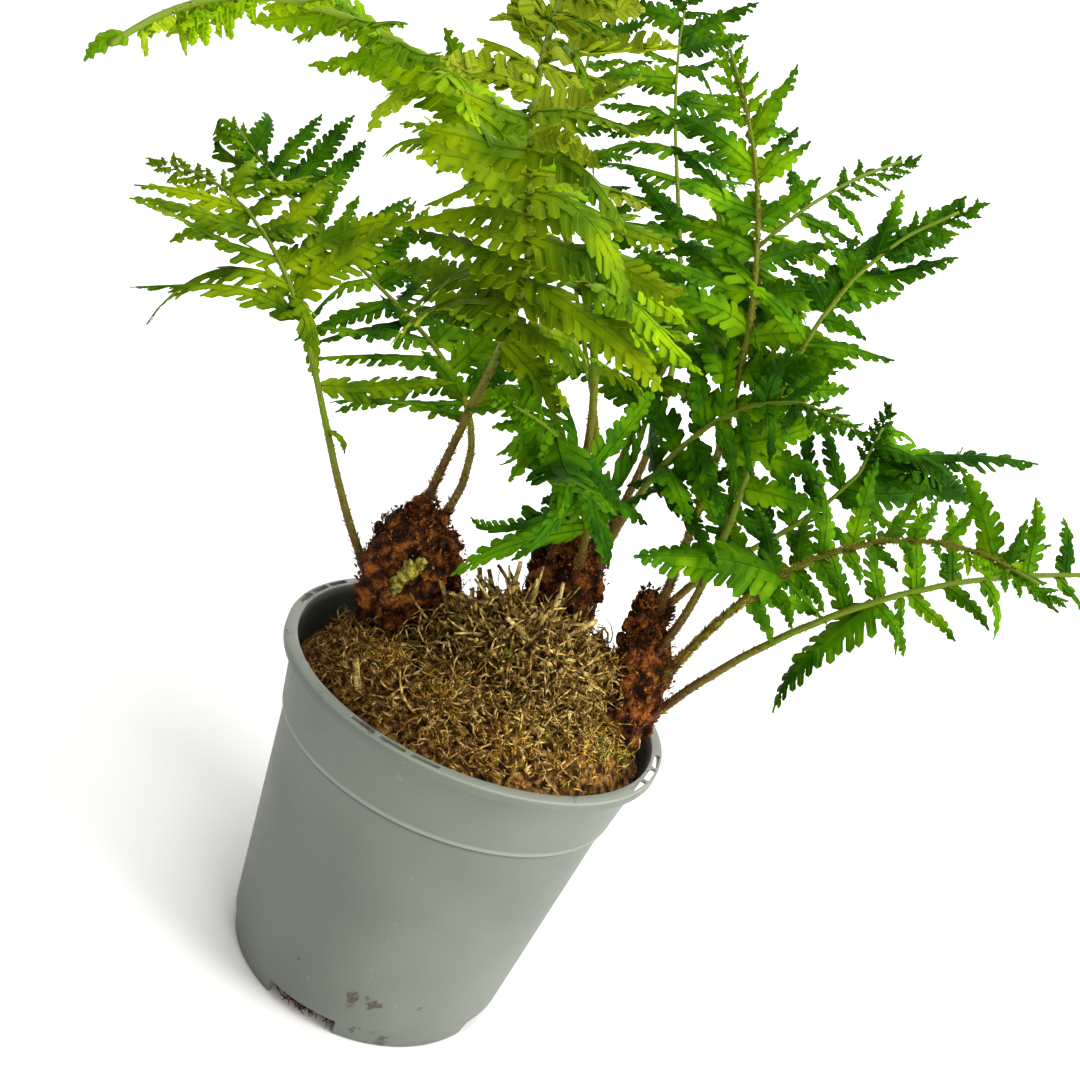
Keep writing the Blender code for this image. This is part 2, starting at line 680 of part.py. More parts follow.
def all_leaflets():
    """The leaflets of every frond, each bent clear of the stems and of those placed before."""
    stems = {frond.name: stem_tree(frond) for frond in FRONDS}
    placed = []
    leaflets = {}
    for frond in FRONDS:
        draw = random.Random(frond.name)
        line = stem_line(frond)
        others = [tree for name, tree in stems.items() if name != frond.name] + placed
        own = []
        kept = []
        if frond.name == "frond_left":
            kept.append(curled_leaflet(frond, line))
            own.append(BVHTree.FromPolygons(*blade(kept[0], MARGIN)))
        for i in range(2 * frond.pairs):
            share = frond.blade + (END_BLADE - frond.blade) * (i + 0.5 * (i % 2)) / (2 * frond.pairs)
            leaflet = leaflet_at(frond, line, share, 1 if i % 2 else -1, draw)
            end = end_blade(frond, line, leaflet.face)
            own_and_end = [BVHTree.FromPolygons(*blade(end))] + own
            leaflet = bent_clear(leaflet, others, own_and_end)
            if leaflet:
                kept.append(leaflet)
                own.append(BVHTree.FromPolygons(*blade(leaflet)))
        kept.append(end)
        own.append(BVHTree.FromPolygons(*blade(end)))
        leaflets[frond.name] = kept
        placed += own
    return leaflets


def make_frond(frond, leaflets, parts, holes, union):
    """The stipe stands in a hole in its crown; its leaflets are fused to it."""
    line = stem_line(frond)
    foot = line[0] - heading(frond, 0) * STIPE_DEPTH
    steps = len(line) - 1
    shares = [i / steps for i in range(steps) if i / steps < END_BLADE] + [END_BLADE + 0.04]
    stem = tube(frond.name, [foot] + [on_line(line, share) for share in shares],
                [STIPE_RADIUS] + [stem_radius(share) for share in shares], parts)
    stem.data.materials.append(material(frond.finish))
    near = [on_line(line, share) for share in shares if share * frond.length < HOLE_REACH]
    deeper = foot - heading(frond, 0) * CLEARANCE
    bore = (STIPE_RADIUS + CLEARANCE) / math.cos(math.radians(30))
    hide_cutter(tube(frond.name + "_hole", [deeper] + near, [bore] * (len(near) + 1), holes[frond.crown], 1))
    for leaflet in leaflets:
        points, triangles = blade(leaflet)
        bm = bmesh.new()
        verts = [bm.verts.new(point) for point in points]
        for corners in triangles:
            bm.faces.new([verts[c] for c in corners])
        bmesh.ops.recalc_face_normals(bm, faces=bm.faces)
        mesh_object("leaflet", bm, union)
    fuse(stem, union)


def main():
    clear_scene()
    parts = new_collection("potted_fern")
    pot_cutters = new_collection("pot_cutters", hidden=True)
    sockets = new_collection("compost_sockets", hidden=True)
    union = new_collection("repeats")
    holes = {crown.name: new_collection(crown.name + "_holes", hidden=True) for crown in CROWNS}
    make_pot(parts, pot_cutters)
    make_soil(parts, sockets)
    make_stubs(parts, sockets, union)
    leaflets = all_leaflets()
    for frond in FRONDS:
        make_frond(frond, leaflets[frond.name], parts, holes, union)
    for crown in CROWNS:
        make_crown(crown, parts, sockets, holes[crown.name], union)
    bpy.data.collections.remove(union)


main()
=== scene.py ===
"""Looks of a soft shield fern in its nursery pot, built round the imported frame.

Lengths are written in millimetres and angles in degrees; MM turns lengths to
Blender's metres. The fronds follow the rule that placed the frame's leaflets,
and each plain blade becomes a rib with a lobe on either side of every vein.
"""

import json
import math
import random
from collections import namedtuple

import bmesh
import bpy
import numpy as np
from mathutils import Matrix, Vector, noise
from mathutils.bvhtree import BVHTree

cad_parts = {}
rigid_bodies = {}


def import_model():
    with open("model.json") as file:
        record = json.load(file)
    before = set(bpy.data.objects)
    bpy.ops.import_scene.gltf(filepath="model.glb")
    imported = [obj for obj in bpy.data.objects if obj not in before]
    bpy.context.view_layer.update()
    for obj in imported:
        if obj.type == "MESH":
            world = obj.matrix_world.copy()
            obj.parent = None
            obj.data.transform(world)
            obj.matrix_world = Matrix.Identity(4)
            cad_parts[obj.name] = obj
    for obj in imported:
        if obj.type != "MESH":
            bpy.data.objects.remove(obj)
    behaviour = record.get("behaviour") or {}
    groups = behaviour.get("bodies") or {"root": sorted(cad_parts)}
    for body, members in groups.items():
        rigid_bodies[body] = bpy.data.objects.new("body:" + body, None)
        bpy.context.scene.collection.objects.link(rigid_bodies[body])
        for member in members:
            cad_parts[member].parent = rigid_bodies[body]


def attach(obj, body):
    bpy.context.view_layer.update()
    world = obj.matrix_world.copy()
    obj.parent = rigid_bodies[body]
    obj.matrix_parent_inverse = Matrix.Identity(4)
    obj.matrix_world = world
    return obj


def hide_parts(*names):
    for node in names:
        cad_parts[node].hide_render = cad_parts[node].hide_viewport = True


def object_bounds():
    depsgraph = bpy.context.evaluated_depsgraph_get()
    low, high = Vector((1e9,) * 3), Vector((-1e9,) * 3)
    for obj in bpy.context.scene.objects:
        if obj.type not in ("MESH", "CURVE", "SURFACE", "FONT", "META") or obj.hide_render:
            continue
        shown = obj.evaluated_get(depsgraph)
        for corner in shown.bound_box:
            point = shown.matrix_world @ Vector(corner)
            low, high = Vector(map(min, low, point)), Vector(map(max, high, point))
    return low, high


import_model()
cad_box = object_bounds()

MM = 0.001
UP = Vector((0, 0, 1))

# Camera, matched to the pot's ellipses: where it stands, in metres, its own right and its way of looking
CAMERA_PLACE = Vector((0.0004, -0.49, 0.3809))
RIGHT = Vector((0.9187, 0.1259, 0.3744)).normalized()
FORWARD = Vector((0, 0.9478, -0.3188)).normalized()
UPWARD = RIGHT.cross(FORWARD)
EYE = CAMERA_PLACE / MM
CAMERA_LENS = 42.0
CAMERA_SENSOR = 36.0
PHOTO_WIDTH = 1080
PHOTO_MIDDLE = PHOTO_WIDTH / 2
FOCAL = CAMERA_LENS / CAMERA_SENSOR * PHOTO_WIDTH
SIGHT_DEPTHS = range(350, 700)

# Studio, in metres: each light's name, place, target, size, power and colour
LIGHTS = (
    ("key", (1.5, -0.5, 0.9), (0, 0, 0.15), 0.9, 29, (1.0, 0.985, 0.95)),
    ("top", (0.1, -0.3, 2.0), (0, 0, 0.2), 1.4, 30, (1.0, 1.0, 0.98)),
    ("front", (0.9, -1.4, 0.5), (0, 0, 0.1), 0.8, 11, (1.0, 0.98, 0.95)),
    ("backdrop", (0, 1.2, 1.8), (0, 2.7, 0.9), 1.6, 60, (1.0, 1.0, 1.0)),
)
WORLD_STRENGTH = 0.4

# Paper sweep: half its width, its flat part behind the plant, its curve, its height, its gap under the pot
SWEEP_HALF = 3000
SWEEP_FLAT = 1800
SWEEP_CURVE = 900
SWEEP_STEPS = 12
SWEEP_HEIGHT = 3200
SWEEP_BELOW = 0.2

# Pot: moulded polypropylene, 17 cm across its rim
POT_HEIGHT = 148.0
RIM_RADIUS = 85.0
RIM_INNER_RADIUS = 80.2
FLANGE = 1.1
LIP_DEPTH = 4.5
COLLAR_DEPTH = 33.0
COLLAR_RADIUS = 76.3
COLLAR_STEP = 1.4
WALL = 1.4
FOOT_HEIGHT = 10.0
FOOT_TOP_RADIUS = 64.0
FOOT_INSET = 0.8
BASE_RADIUS = 61.2
FOOT_RING = 2.0
FLOOR = 1.6
PAD_RADIUS = 39.5
CHANNEL_HEIGHT = 4.0
CHANNEL_INNER_RADIUS = 43.0
POT_STEPS = 144
QUARTER_TURNS = (76, 166, 256, 346)
SLOT_PITCH = 9.6
SLOT_LENGTH = 12.2
SLOT_WIDTH = 2.3
SLOT_DEPTH = 2.0
SLOT_RADIUS = 82.7
SLOT_CORNER = 1.0
NOTCH_LENGTH = 33.0
NOTCH_HEIGHT = 7.5
NOTCH_DEPTH = 14.0
NOTCH_RADIUS = 63.2
NOTCH_CORNER = 3.0
HOOP_ROUNDING = 0.35

# Heights of the marks on the pot: dirt at the foot and the rim, the paler band on the rim's top edge, the
# step's painted highlight and painted shade, the painted shade inside
FOOT_DIRT_TOP = 16.0
FOOT_DIRT_FULL = 3.0
RIM_DIRT_LOW = 140.0
RIM_DIRT_FULL = 149.0
# Band on the rim's top edge that is painted paler
RIM_PALE_LOW = 146.6
RIM_PALE_HIGH = 147.6
# Painted shade in the corner under the collar's step, and a painted highlight on the step's edge just above
# it
STEP_CORNER = POT_HEIGHT - COLLAR_DEPTH - 1
STEP_EDGE = STEP_CORNER + 2
# Painted shade on the pot's inner wall: where it starts under the rim, where it is full, and its foot above
# the step
INNER_SHADE_TOP = 147.0
INNER_SHADE_FULL = 143.5
INNER_SHADE_FOOT = POT_HEIGHT - COLLAR_DEPTH + 1
SCUFFED = "A9AEA1"
# Paler tone for the rim's top edge, and the painted highlight on the collar's step
PALE_RIM_AND_STEP_HIGHLIGHT = "B4B8AC"
DIRT = "3A2E18"
# Colour of the painted shade in the corner under the collar's step
PAINTED_STEP_SHADE = "34352C"
# Colour of the painted shade inside the pot
PAINTED_INNER_SHADE = "14160E"

# Compost
SOIL_LEVEL = 134.0
SOIL_SLOPE_X = 0.06
SOIL_SLOPE_Y = -0.05
SOIL_MOUND = 24.0
SOIL_GAP = 0.5
SOIL_STEPS = 150
SOIL_RINGS = 52
GROUND_REACH = 72.0

# Dead stipes between the crowns
DOME_X = 11.0
DOME_Y = -6.0
DOME_RADIUS_X = 35.0
DOME_RADIUS_Y = 22.0
DOME_BASE = 158.5
DOME_HEIGHT = 31.0
DOME_SUNK = 4.0
DOME_GROWN = 1.08
STUB_LENGTH = 17.0

# Smudges of compost low on the pot's side: x and y in the photo, and how far each reaches
SMUDGES = ((356, 998, 9.0), (376, 1002, 6.0), (420, 1008, 6.0), (300, 958, 4.0))

# Litter: how many pieces of each kind, and how far from the pot's axis they lie and reach
FIBRES = 2600
RIM_FIBRES = 600
RIM_FIBRE_TURNS = (175, 320)
RIM_FIBRES_FROM = 46.0
MOSS_SHOOTS = 1300
STUBS = 140
PALE_STUBS = 0.24
DOME_FIBRES = 1700
TUFT_SHOOTS = 26
DRAIN_ROOTS = 260
LITTER_EDGE = 75.0
LITTER_FADE = 8.0
LITTER_RADIUS = 73.0
LITTER_REACH = 74.0

# Strands, such as fibres and shoots: length, radius and turn in radians, each between two values, and points
Strand = namedtuple("Strand", "length radius turn points")
RIM_STRAND = Strand((4, 11), (0.26, 0.5), (1, 4.5), 5)
MOSS_STRAND = Strand((2.5, 6.0), (0.3, 0.55), (0.8, 3.0), 4)
TUFT_STRAND = Strand((3, 7), (0.35, 0.65), (0.8, 3), 4)
DOME_STRAND = Strand((7, 22), (0.4, 0.9), (0.4, 3.8), 5)
DRAIN_STRAND = Strand((3, 9), (0.25, 0.5), (0.5, 3), 5)
STRAND_TIP = 0.4

# Tangle of pale fibre in front of the dead stipes: its middle, its reach and the share left out beyond it
TANGLE_X = 22.0
TANGLE_Y = -28.0
TANGLE_REACH_X = 56.0
TANGLE_REACH_Y = 40.0
THINNED = 0.4
TANGLE_RADIUS = (0.34, 0.74)
TANGLE_TURN = (0.6, 4.2)

# Cushions of moss on the compost: x, y, radius, height
CUSHIONS = (
    (47, 0, 13, 26.0), (40, 18, 12, 24.0), (48, -46, 17, 8.0), (20, -56, 14, 4.0), (-12, -48, 13, 3.5),
    (-38, -30, 12, 3.5), (56, -24, 11, 4.0), (-8, -30, 12, 3.5), (-52, 44, 14, 3.0), (-12, 58, 13, 3.5),
    (48, 46, 14, 3.0),
)

# Tufts of living moss: x and y in the photo, size
TUFTS = (
    (452, 640, 6), (470, 652, 7), (440, 625, 5), (520, 700, 6), (545, 735, 5), (500, 668, 5),
    (620, 765, 7), (600, 752, 6),
)

# Loose chips: x and y in the photo, length, width, turn from its level, and 1 for bark or 0 for straw
CHIPS = (
    (357, 692, 12, 2.6, 96, 0), (450, 632, 8, 2.6, 40, 0), (530, 730, 5, 4.0, -30, 0),
    (566, 680, 6, 3.0, -60, 0), (598, 705, 7, 1.6, 20, 1), (398, 640, 8, 1.4, 12, 0),
)

# Old stipes that stand dead: foot and tip in the photo, radius, and 0 for straw or 2 for brown
OLD_STIPES = (
    ((518, 614), (473, 576), 0.9, 0), ((500, 612), (532, 566), 1.0, 0), ((437, 620), (435, 564), 1.5, 2),
    ((450, 624), (446, 572), 1.2, 2), ((484, 610), (478, 566), 1.1, 2), ((520, 612), (512, 560), 0.9, 2),
)

# Fine roots that stand up: foot and tip in the photo
ROOT_THREADS = (
    ((480, 612), (461, 505)), ((560, 786), (568, 800)), ((490, 612), (502, 545)), ((500, 612), (490, 540)),
    ((512, 612), (522, 546)), ((476, 614), (472, 548)),
)

# Crowns: a spine of (x, y, z, radius) each
Crown = namedtuple("Crown", "name spine")
CROWNS = (
    Crown("crown_left", (
        (-45, 12, 124, 17), (-45, 12, 156.5, 17), (-45, 12, 158.5, 20.5), (-45, 12, 170, 22.5),
        (-45, 12, 184, 21.5), (-47, 12, 194, 16), (-49, 12, 201, 8.5), (-50, 12, 208, 4),
    )),
    Crown("crown_middle", (
        (20, 36, 130, 14), (20, 36, 157.6, 14), (20, 36, 159.5, 15.5), (19, 35, 175, 16.5),
        (18, 33, 191, 17), (17, 33, 202, 16), (13, 33, 211, 11), (10, 34, 218, 4),
    )),
    Crown("crown_right", (
        (63, 0, 131, 11), (63, 0, 157, 11), (63.5, 2, 159, 12.5), (63.5, 4, 173, 13.5), (60, 8, 187, 12),
        (55.5, 10, 201, 8), (52, 12, 211, 3.5),
    )),
)
SCALE_RELIEF = 0.09
CROWN_LEVELS = 44
CROWN_SIDES = 56
CROWN_FOOT = 8.0
CROWN_KNOBS = 30
CROWN_SCALES = 2200
CROWN_LUMPS = 80
SMOOTH_BELOW = 158.0
GOLDEN_TURN = 137.5
CROWN_ROOM = 8.0
BUD_KNOBS = ((-43.5, -10.2, 185.5, 3.9), (-45.0, -9.6, 181.0, 3.0), (-46.8, -9.0, 177.0, 3.2),
             (-41.0, -9.6, 189.0, 2.6), (-47.5, -8.4, 172.5, 2.2))

# Fronds, placed as in the frame. start: where the stipe leaves its crown. turn,
# lean: at the foot, the middle and the tip. face: turn and height of the side
# that the blade shows up. twist: how far each leaflet turns its upper side to
# the tip. blade: share of the length below the lowest leaflets.
Frond = namedtuple("Frond", "name start turn lean length face twist blade pairs leaflet finish")
FRONDS = tuple(Frond("frond_" + name, *form) for name, *form in (
    ("left", (-64, 6, 172), (181, 155, 172), (42, 44, 101), 205, (270, 35), 15, 0.53, 5, 80, "olive"),
    ("upper_left", (-42, 22, 198), (80, 148, 193), (54, 75, 52), 280, (280, 50), 15, 0.30, 10, 68, "dark"),
    ("top", (-50, 12, 206), (293, 270, 279), (5, 65, 57), 355, (105, 60), 45, 0.27, 11, 74, "olive"),
    ("centre_low", (20, 18, 204), (250, 236, 225), (13, 51, 77), 115, (260, 50), 10, 0.20, 5, 66, "mid"),
    ("centre_right", (27, 26, 204), (323, 313, 313), (3, 32, 95), 155, (250, 50), 15, 0.26, 7, 70, "mid"),
    ("hairy", (69, 0, 174), (341, 332, 326), (13, 38, 99), 180, (250, 50), 20, 0.34, 8, 56, "mid"),
    ("lowest", (73, -4, 166), (356, 360, 355), (25, 55, 96), 270, (265, 45), 15, 0.34, 10, 52, "mid"),
    ("right", (64, 1, 190), (18, 10, -1), (17, -4, 51), 215, (260, 25), 20, 0.32, 8, 62, "mid"),
    ("mid_right", (58, 17, 198), (48, 13, -20), (32, 38, -12), 130, (270, 45), 15, 0.36, 5, 80, "mid"),
    ("scaly", (58, 8, 204), (349, 347, 339), (-3, -14, -47), 230, (270, 10), 25, 0.28, 9, 62, "mid"),
    ("upper_right", (26, 33, 209), (19, 30, 30), (-15, 14, 57), 220, (250, 30), 20, 0.32, 8, 60, "mid"),
    ("near", (8, 22, 203), (269, 238, 276), (16, 63, 114), 395, (60, 60), 40, 0.28, 12, 68, "lime"),
    ("back_tall", (25, 44, 205), (72, 114, 103), (35, 52, 29), 390, (275, 20), 20, 0.34, 10, 78, "dark"),
    ("back_thin", (14, 42, 206), (80, 125, 103), (73, 51, 3), 390, (270, 20), 20, 0.36, 10, 72, "dark"),
))
STIPE_DEPTH = 10.0
STIPE_RADIUS = 1.8
RACHIS_TIP_RADIUS = 0.7
STEM_STEP = 24.0
STEM_KNOTS = 24
CHAFF_PER_MM = 2.0
SHAGGY_STEMS = {"frond_hairy": 9.0, "frond_scaly": 5.0, "frond_top": 1.5, "frond_upper_left": 1.5}

# Leaflets, placed as in the frame
SHORT_LEAFLET_TEETH = 2
LONG_LEAFLET_TEETH = 3
LONG_LEAFLET_FROM = 40.0
TOOTH_REACH = 0.5
NOTCH_SHARE = 0.72
LEAFLET_WIDTH = 0.31
LEAFLET_THICKNESS = 1.3
LEAFLET_ARCH = 0.2
LEAFLET_DROOP = 0.16
SWEEP_AT_BASE = 10.0
SWEEP_AT_TIP = 36.0
SWEEP_SPREAD = 6.0
LIFT_SPREAD = 9.0
TWIST_SPREAD = 8.0
SIZE_SPREAD = 0.07
SHORTEST_LEAFLET = 18.0
LIFTS = (0, 10, -10, 20, -20, 32, -32, 46, -46)
TRIMS = (1.0, 0.85, 0.7, 0.55)
MARGIN = 1.2
POT_ROOM = 4.0
ROOM_ABOVE_POT = 16.0
DOME_ROOM = 8.0
END_BLADE = 0.86
END_BLADE_REACH = 12.0
END_BLADE_WIDTH = 0.5
END_BLADE_DROOP = 0.05
END_TEETH = 5
END_NOTCH = 0.45
CURLED = (0.29, (0.9, -0.25, 0.1), 20.0, 8.0, 0.6)

# Fine leaflets: one lobe for every LOBE_PITCH of rib on either side
LOBE_PITCH = 4.9
FEWEST_LOBES = 4
MOST_LOBES = 15
LOBE_PROFILE = (0.8, 1.0, 0.74, 0.74, 0.03)
LOBE_TEETH = (0.0, 0.1, -0.02, 0.12, 0.0)
LOBE_FILL = 0.56
LOBE_FOLD = 0.3
LOBE_DROOP = 0.14
LOBE_HOOK = 0.26
WING_SHARE = 0.27
WING_GROWTH = 0.2
LOBE_THICKNESS = 0.32
RIB_RADIUS = 0.42
RIB_TIP_RADIUS = 0.12
RIB_ON_LOBE = (0.75, 0.99)
VARIANTS = 4
BOX_ROOM = 0.05

# How a fine leaflet twists, waves, bends to one side and bends down; some curl under
FINE_TWIST = 28.0
FINE_WAVE = 0.06
FINE_SICKLE = (-0.04, 0.14)
FINE_BEND = 14.0
CURLED_SHARE = 0.12
CURLED_BEND = (35, 75)

# How the fine leaflets differ from the plain blades, by frond: angles, and lengths and widths beside theirs.
# Hanging ones, whose way out rises less than HANGING_BELOW, flex up and are narrower and shorter
HANGING_BELOW = 0.15
HANGING_FLEX = {"frond_left": 32.0, "frond_lowest": 24.0, "frond_hairy": 18.0, "frond_centre_right": 8.0,
                "frond_right": 0.0, "frond_mid_right": 0.0}
NARROW_HANGING = 0.7
SHORT_HANGING = {"frond_lowest": 0.6, "frond_hairy": 0.55, "frond_right": 0.62, "frond_mid_right": 0.7}
# All of a frond's leaflets are narrower
SLIM = {"frond_hairy": 0.7, "frond_lowest": 0.75, "frond_mid_right": 0.7, "frond_centre_right": 0.75,
        "frond_right": 0.75}
# Those that point to the right, 1, or to the left, -1, are shorter
SHORT_SIDE = {"frond_right": (1, 0.6), "frond_top": (-1, 0.68), "frond_mid_right": (1, 0.8)}
SIDEWAYS = 0.4
# The nearest fronds have larger lobes, and their first few leaflets to the right are shorter and narrower
NEAREST = ("frond_top", "frond_near")
NEAREST_FEWEST = 3
NEAREST_PITCH = 6
FIRST_FEW = 3
FIRST_SHORT = 0.55
FIRST_NARROW = 0.85
# Leaflets of frond_near shrink and flex up towards its tip, all along this reach in front of this y
NEAR_TIP_FROM = -140.0
NEAR_TIP_REACH = 85.0
NEAR_TIP_SHRINK = 0.78
NEAR_TIP_FLEX = 35.0
# The small leaflets that end a frond
TIP_PAIRS = 6
TIP_SWEEP = 38.0
TIP_SWEEP_GROWTH = 18.0
TIP_SHORTEST = 6.0
TIP_WIDTH = {"frond_near": 0.32}
TIP_LENGTH = {"frond_near": 0.45}

# Leaflets between the frame's, fine ones only: share of the rachis, where the tip shows in the photo (x, y),
# how much deeper than its root it lies, and its width beside the usual, below 0 where the underside shows
ADDED = {
    "frond_left": (
        (0.385, 448, 397, 8, 0.8), (0.54, 273, 320, -4, 1.5), (0.58, 343, 361, -12, 1.0),
        (0.6, 250, 311, 4, 0.8), (0.72, 342, 216, 10, 1.0), (0.67, 335, 262, 14, 1.0),
        (0.78, 168, 234, -8, 1.1), (0.84, 310, 178, 8, 0.9),
    ),
    "frond_upper_left": (
        (0.86, 352, 118, 6, 1.0), (0.9, 320, 117, 10, 1.0), (0.82, 375, 152, 8, 1.0),
        (0.95, 285, 100, 4, 1.3), (0.93, 180, 108, -4, 0.9), (0.88, 165, 120, 6, 0.6),
        (0.78, 337, 190, -12, 0.9), (0.72, 412, 198, 6, 1.0), (0.67, 436, 226, 10, 1.1),
        (0.62, 446, 262, -8, 1.0), (0.5, 376, 303, -6, 1.2), (0.3, 424, 350, -8, 1.2),
        (0.25, 408, 411, -4, 0.6), (0.32, 545, 345, -14, 1.2), (0.38, 520, 300, -12, 1.2),
        (0.45, 500, 278, 4, 1.1), (0.28, 530, 395, -10, 1.2),
    ),
    "frond_top": (
        (0.3, 652, 338, -6, 1.1), (0.37, 386, 252, 4, 1.0), (0.25, 566, 388, 6, 1.1),
        (0.33, 408, 300, 10, 1.0), (0.44, 628, 262, 4, 1.0), (0.28, 570, 440, 10, 0.9),
        (0.88, 676, 54, 2, -1.4), (0.91, 498, 4, 2, -1.4), (0.84, 441, 66, -2, -1.6),
        (0.8, 648, 104, -4, -1.6), (0.77, 600, 158, 2, -1.4), (0.93, 640, 8, 4, -1.3),
    ),
    "frond_centre_low": (
        (0.75, 578, 535, -26, 1.3), (0.5, 606, 556, -6, 1.2), (0.8, 508, 482, 0, 1.3),
        (0.9, 466, 398, 4, 1.1), (0.88, 490, 430, 0, 1.2), (0.84, 498, 456, 8, 1.2),
        (0.85, 520, 500, 12, 1.2), (0.42, 655, 522, 4, 1.1), (0.45, 540, 505, 14, 1.2),
        (0.95, 560, 345, 0, 1.1), (0.55, 520, 450, 18, 1.3), (0.6, 625, 505, 12, 1.2),
        (0.35, 618, 560, -16, 1.3), (0.3, 650, 505, -14, 1.3),
    ),
    "frond_centre_right": (
        (0.5, 703, 530, -4, 1.2), (0.6, 762, 522, 2, 1.2), (0.55, 690, 356, 6, 1.1),
        (0.75, 790, 340, 10, 1.0), (0.38, 690, 520, -20, 1.1),
    ),
    "frond_mid_right": (
        (0.76, 1000, 520, -12, 1.0), (0.84, 985, 504, 8, 1.0), (0.9, 1028, 468, 0, 0.9),
        (0.94, 952, 470, -10, 0.9), (0.95, 1030, 516, -14, 0.7), (0.97, 925, 424, 6, 1.1),
    ),
    "frond_hairy": (
        (0.33, 778, 640, 2, 1.1), (0.36, 812, 620, 10, 1.0), (0.9, 966, 462, 4, 0.9),
        (0.93, 1028, 520, 4, 0.8), (0.43, 638, 545, -30, 1.5),
    ),
    "frond_lowest": (
        (0.38, 741, 676, 2, 1.2), (0.42, 895, 657, -2, 0.6), (0.55, 1037, 530, 4, 0.9),
    ),
    "frond_right": (
        (0.66, 893, 362, 2, 0.8), (0.56, 850, 362, -6, 1.0), (0.5, 700, 380, 6, 1.1),
        (0.76, 905, 262, 2, 1.0), (0.9, 962, 216, 0, 0.9), (0.86, 960, 240, 2, 0.9),
        (0.8, 955, 272, 4, 1.0), (0.84, 902, 188, -2, 0.9), (0.78, 874, 210, 0, 1.0),
        (0.72, 848, 232, 2, 1.0), (0.74, 902, 294, 6, 1.0),
    ),
    "frond_near": (
        (0.82, 262, 8, 2, 1.2), (0.8, 330, -12, 4, 1.3), (0.86, 196, 18, 0, 1.0),
        (0.61, 421, 147, -4, 1.3), (0.58, 437, 174, 6, 1.3), (0.54, 458, 190, 0, 1.3),
        (0.7, 333, 66, -4, 1.2), (0.66, 388, 92, 4, 1.4), (0.38, 664, 346, 4, 1.1),
        (0.46, 640, 216, -6, 1.1), (0.76, 290, 38, 4, 1.2), (0.64, 352, 46, 8, 1.5),
        (0.6, 404, 62, 2, 1.5), (0.57, 428, 96, 10, 1.5), (0.68, 322, 34, 0, 1.5),
        (0.73, 300, 20, 6, 1.4), (0.55, 470, 62, 4, 1.3), (0.62, 440, 30, -4, 1.3),
        (0.5, 474, 118, 6, 1.5), (0.47, 500, 150, -4, 1.5), (0.78, 252, 26, 0, 1.2),
        (0.985, 99, 36, -1, 0.8), (0.96, 128, 50, 0, 0.8), (0.93, 158, 42, 0, 0.9),
        (0.9, 190, 34, 0, 1.0), (0.945, 134, 38, 0, 0.9), (0.915, 170, 30, 0, 0.9),
    ),
    "frond_scaly": (
        (0.8, 664, 112, 4, 1.0), (0.72, 668, 150, 8, 1.0), (0.86, 805, 70, -4, 0.9),
        (0.78, 790, 126, 6, 1.0), (0.84, 788, 90, 8, 0.9), (0.62, 672, 205, 4, 1.1),
        (0.5, 840, 258, 8, 1.0), (0.45, 668, 300, 2, 1.1),
    ),
    "frond_upper_right": (
        (0.5, 605, 300, 4, 1.1), (0.42, 740, 330, 6, 1.1), (0.6, 660, 230, 8, 1.0),
        (0.55, 790, 330, 10, 1.0),
    ),
    "frond_back_tall": (
        (0.85, 752, 3, 2, 1.1), (0.83, 750, 42, 8, 0.9), (0.8, 738, 76, -6, 1.1), (0.78, 604, 80, 2, 1.1),
        (0.74, 742, 114, 4, 1.1), (0.7, 604, 130, 6, 1.0), (0.88, 606, 8, 0, 1.1),
        (0.5, 640, 170, 6, 1.1),
    ),
    "frond_back_thin": (
        (0.72, 616, 166, 0, 1.1), (0.82, 652, 56, 4, 1.1), (0.65, 512, 190, 2, 1.0),
        (0.78, 508, 110, 4, 1.0), (0.6, 640, 212, 2, 1.0), (0.88, 652, 20, 0, 1.0),
        (0.9, 540, 20, 2, 1.0),
    ),
}

# Each is tried at these lengths and depths until its outer part is clear of the others
ADDED_PUSHES = (0, 9, -9, 18, -18, 30, -30, 42, -42)
ADDED_TRIES = tuple((trim, push) for trim in (1.0, 0.85, 0.7) for push in ADDED_PUSHES)
ADDED_ROOM = 0.3
ADDED_FREE = 0.3


def linear(hex_colour):
    """Linear RGBA of an sRGB hex colour."""
    channels = [int(hex_colour[i:i + 2], 16) / 255 for i in (0, 2, 4)]
    return [c / 12.92 if c <= 0.04045 else ((c + 0.055) / 1.055) ** 2.4 for c in channels] + [1.0]


# Meshes


def new_object(name, mesh):
    obj = bpy.data.objects.new(name, mesh)
    bpy.context.scene.collection.objects.link(obj)
    return obj


def mesh_of(name, bm):
    """The mesh that a bmesh holds."""
    mesh = bpy.data.meshes.new(name)
    bm.to_mesh(mesh)
    bm.free()
    return mesh


def mesh_object(name, bm, materials):
    """Links what a bmesh holds, drawn in millimetres, as an object in metres."""
    bmesh.ops.scale(bm, vec=(MM, MM, MM), verts=bm.verts)
    for face in bm.faces:
        face.smooth = True
    mesh = mesh_of(name, bm)
    for material in materials:
        mesh.materials.append(material)
    return new_object(name, mesh)


def give_material(bm, first, index):
    """Gives the faces from this one on a material of their object."""
    bm.faces.ensure_lookup_table()
    for face in bm.faces[first:]:
        face.material_index = index


def finished(obj, slot, *nodes):
    """Attaches a piece of the plant or the pot to the root body and hides the nodes that it stands for."""
    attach(obj, "root")
    if nodes:
        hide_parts(*nodes)


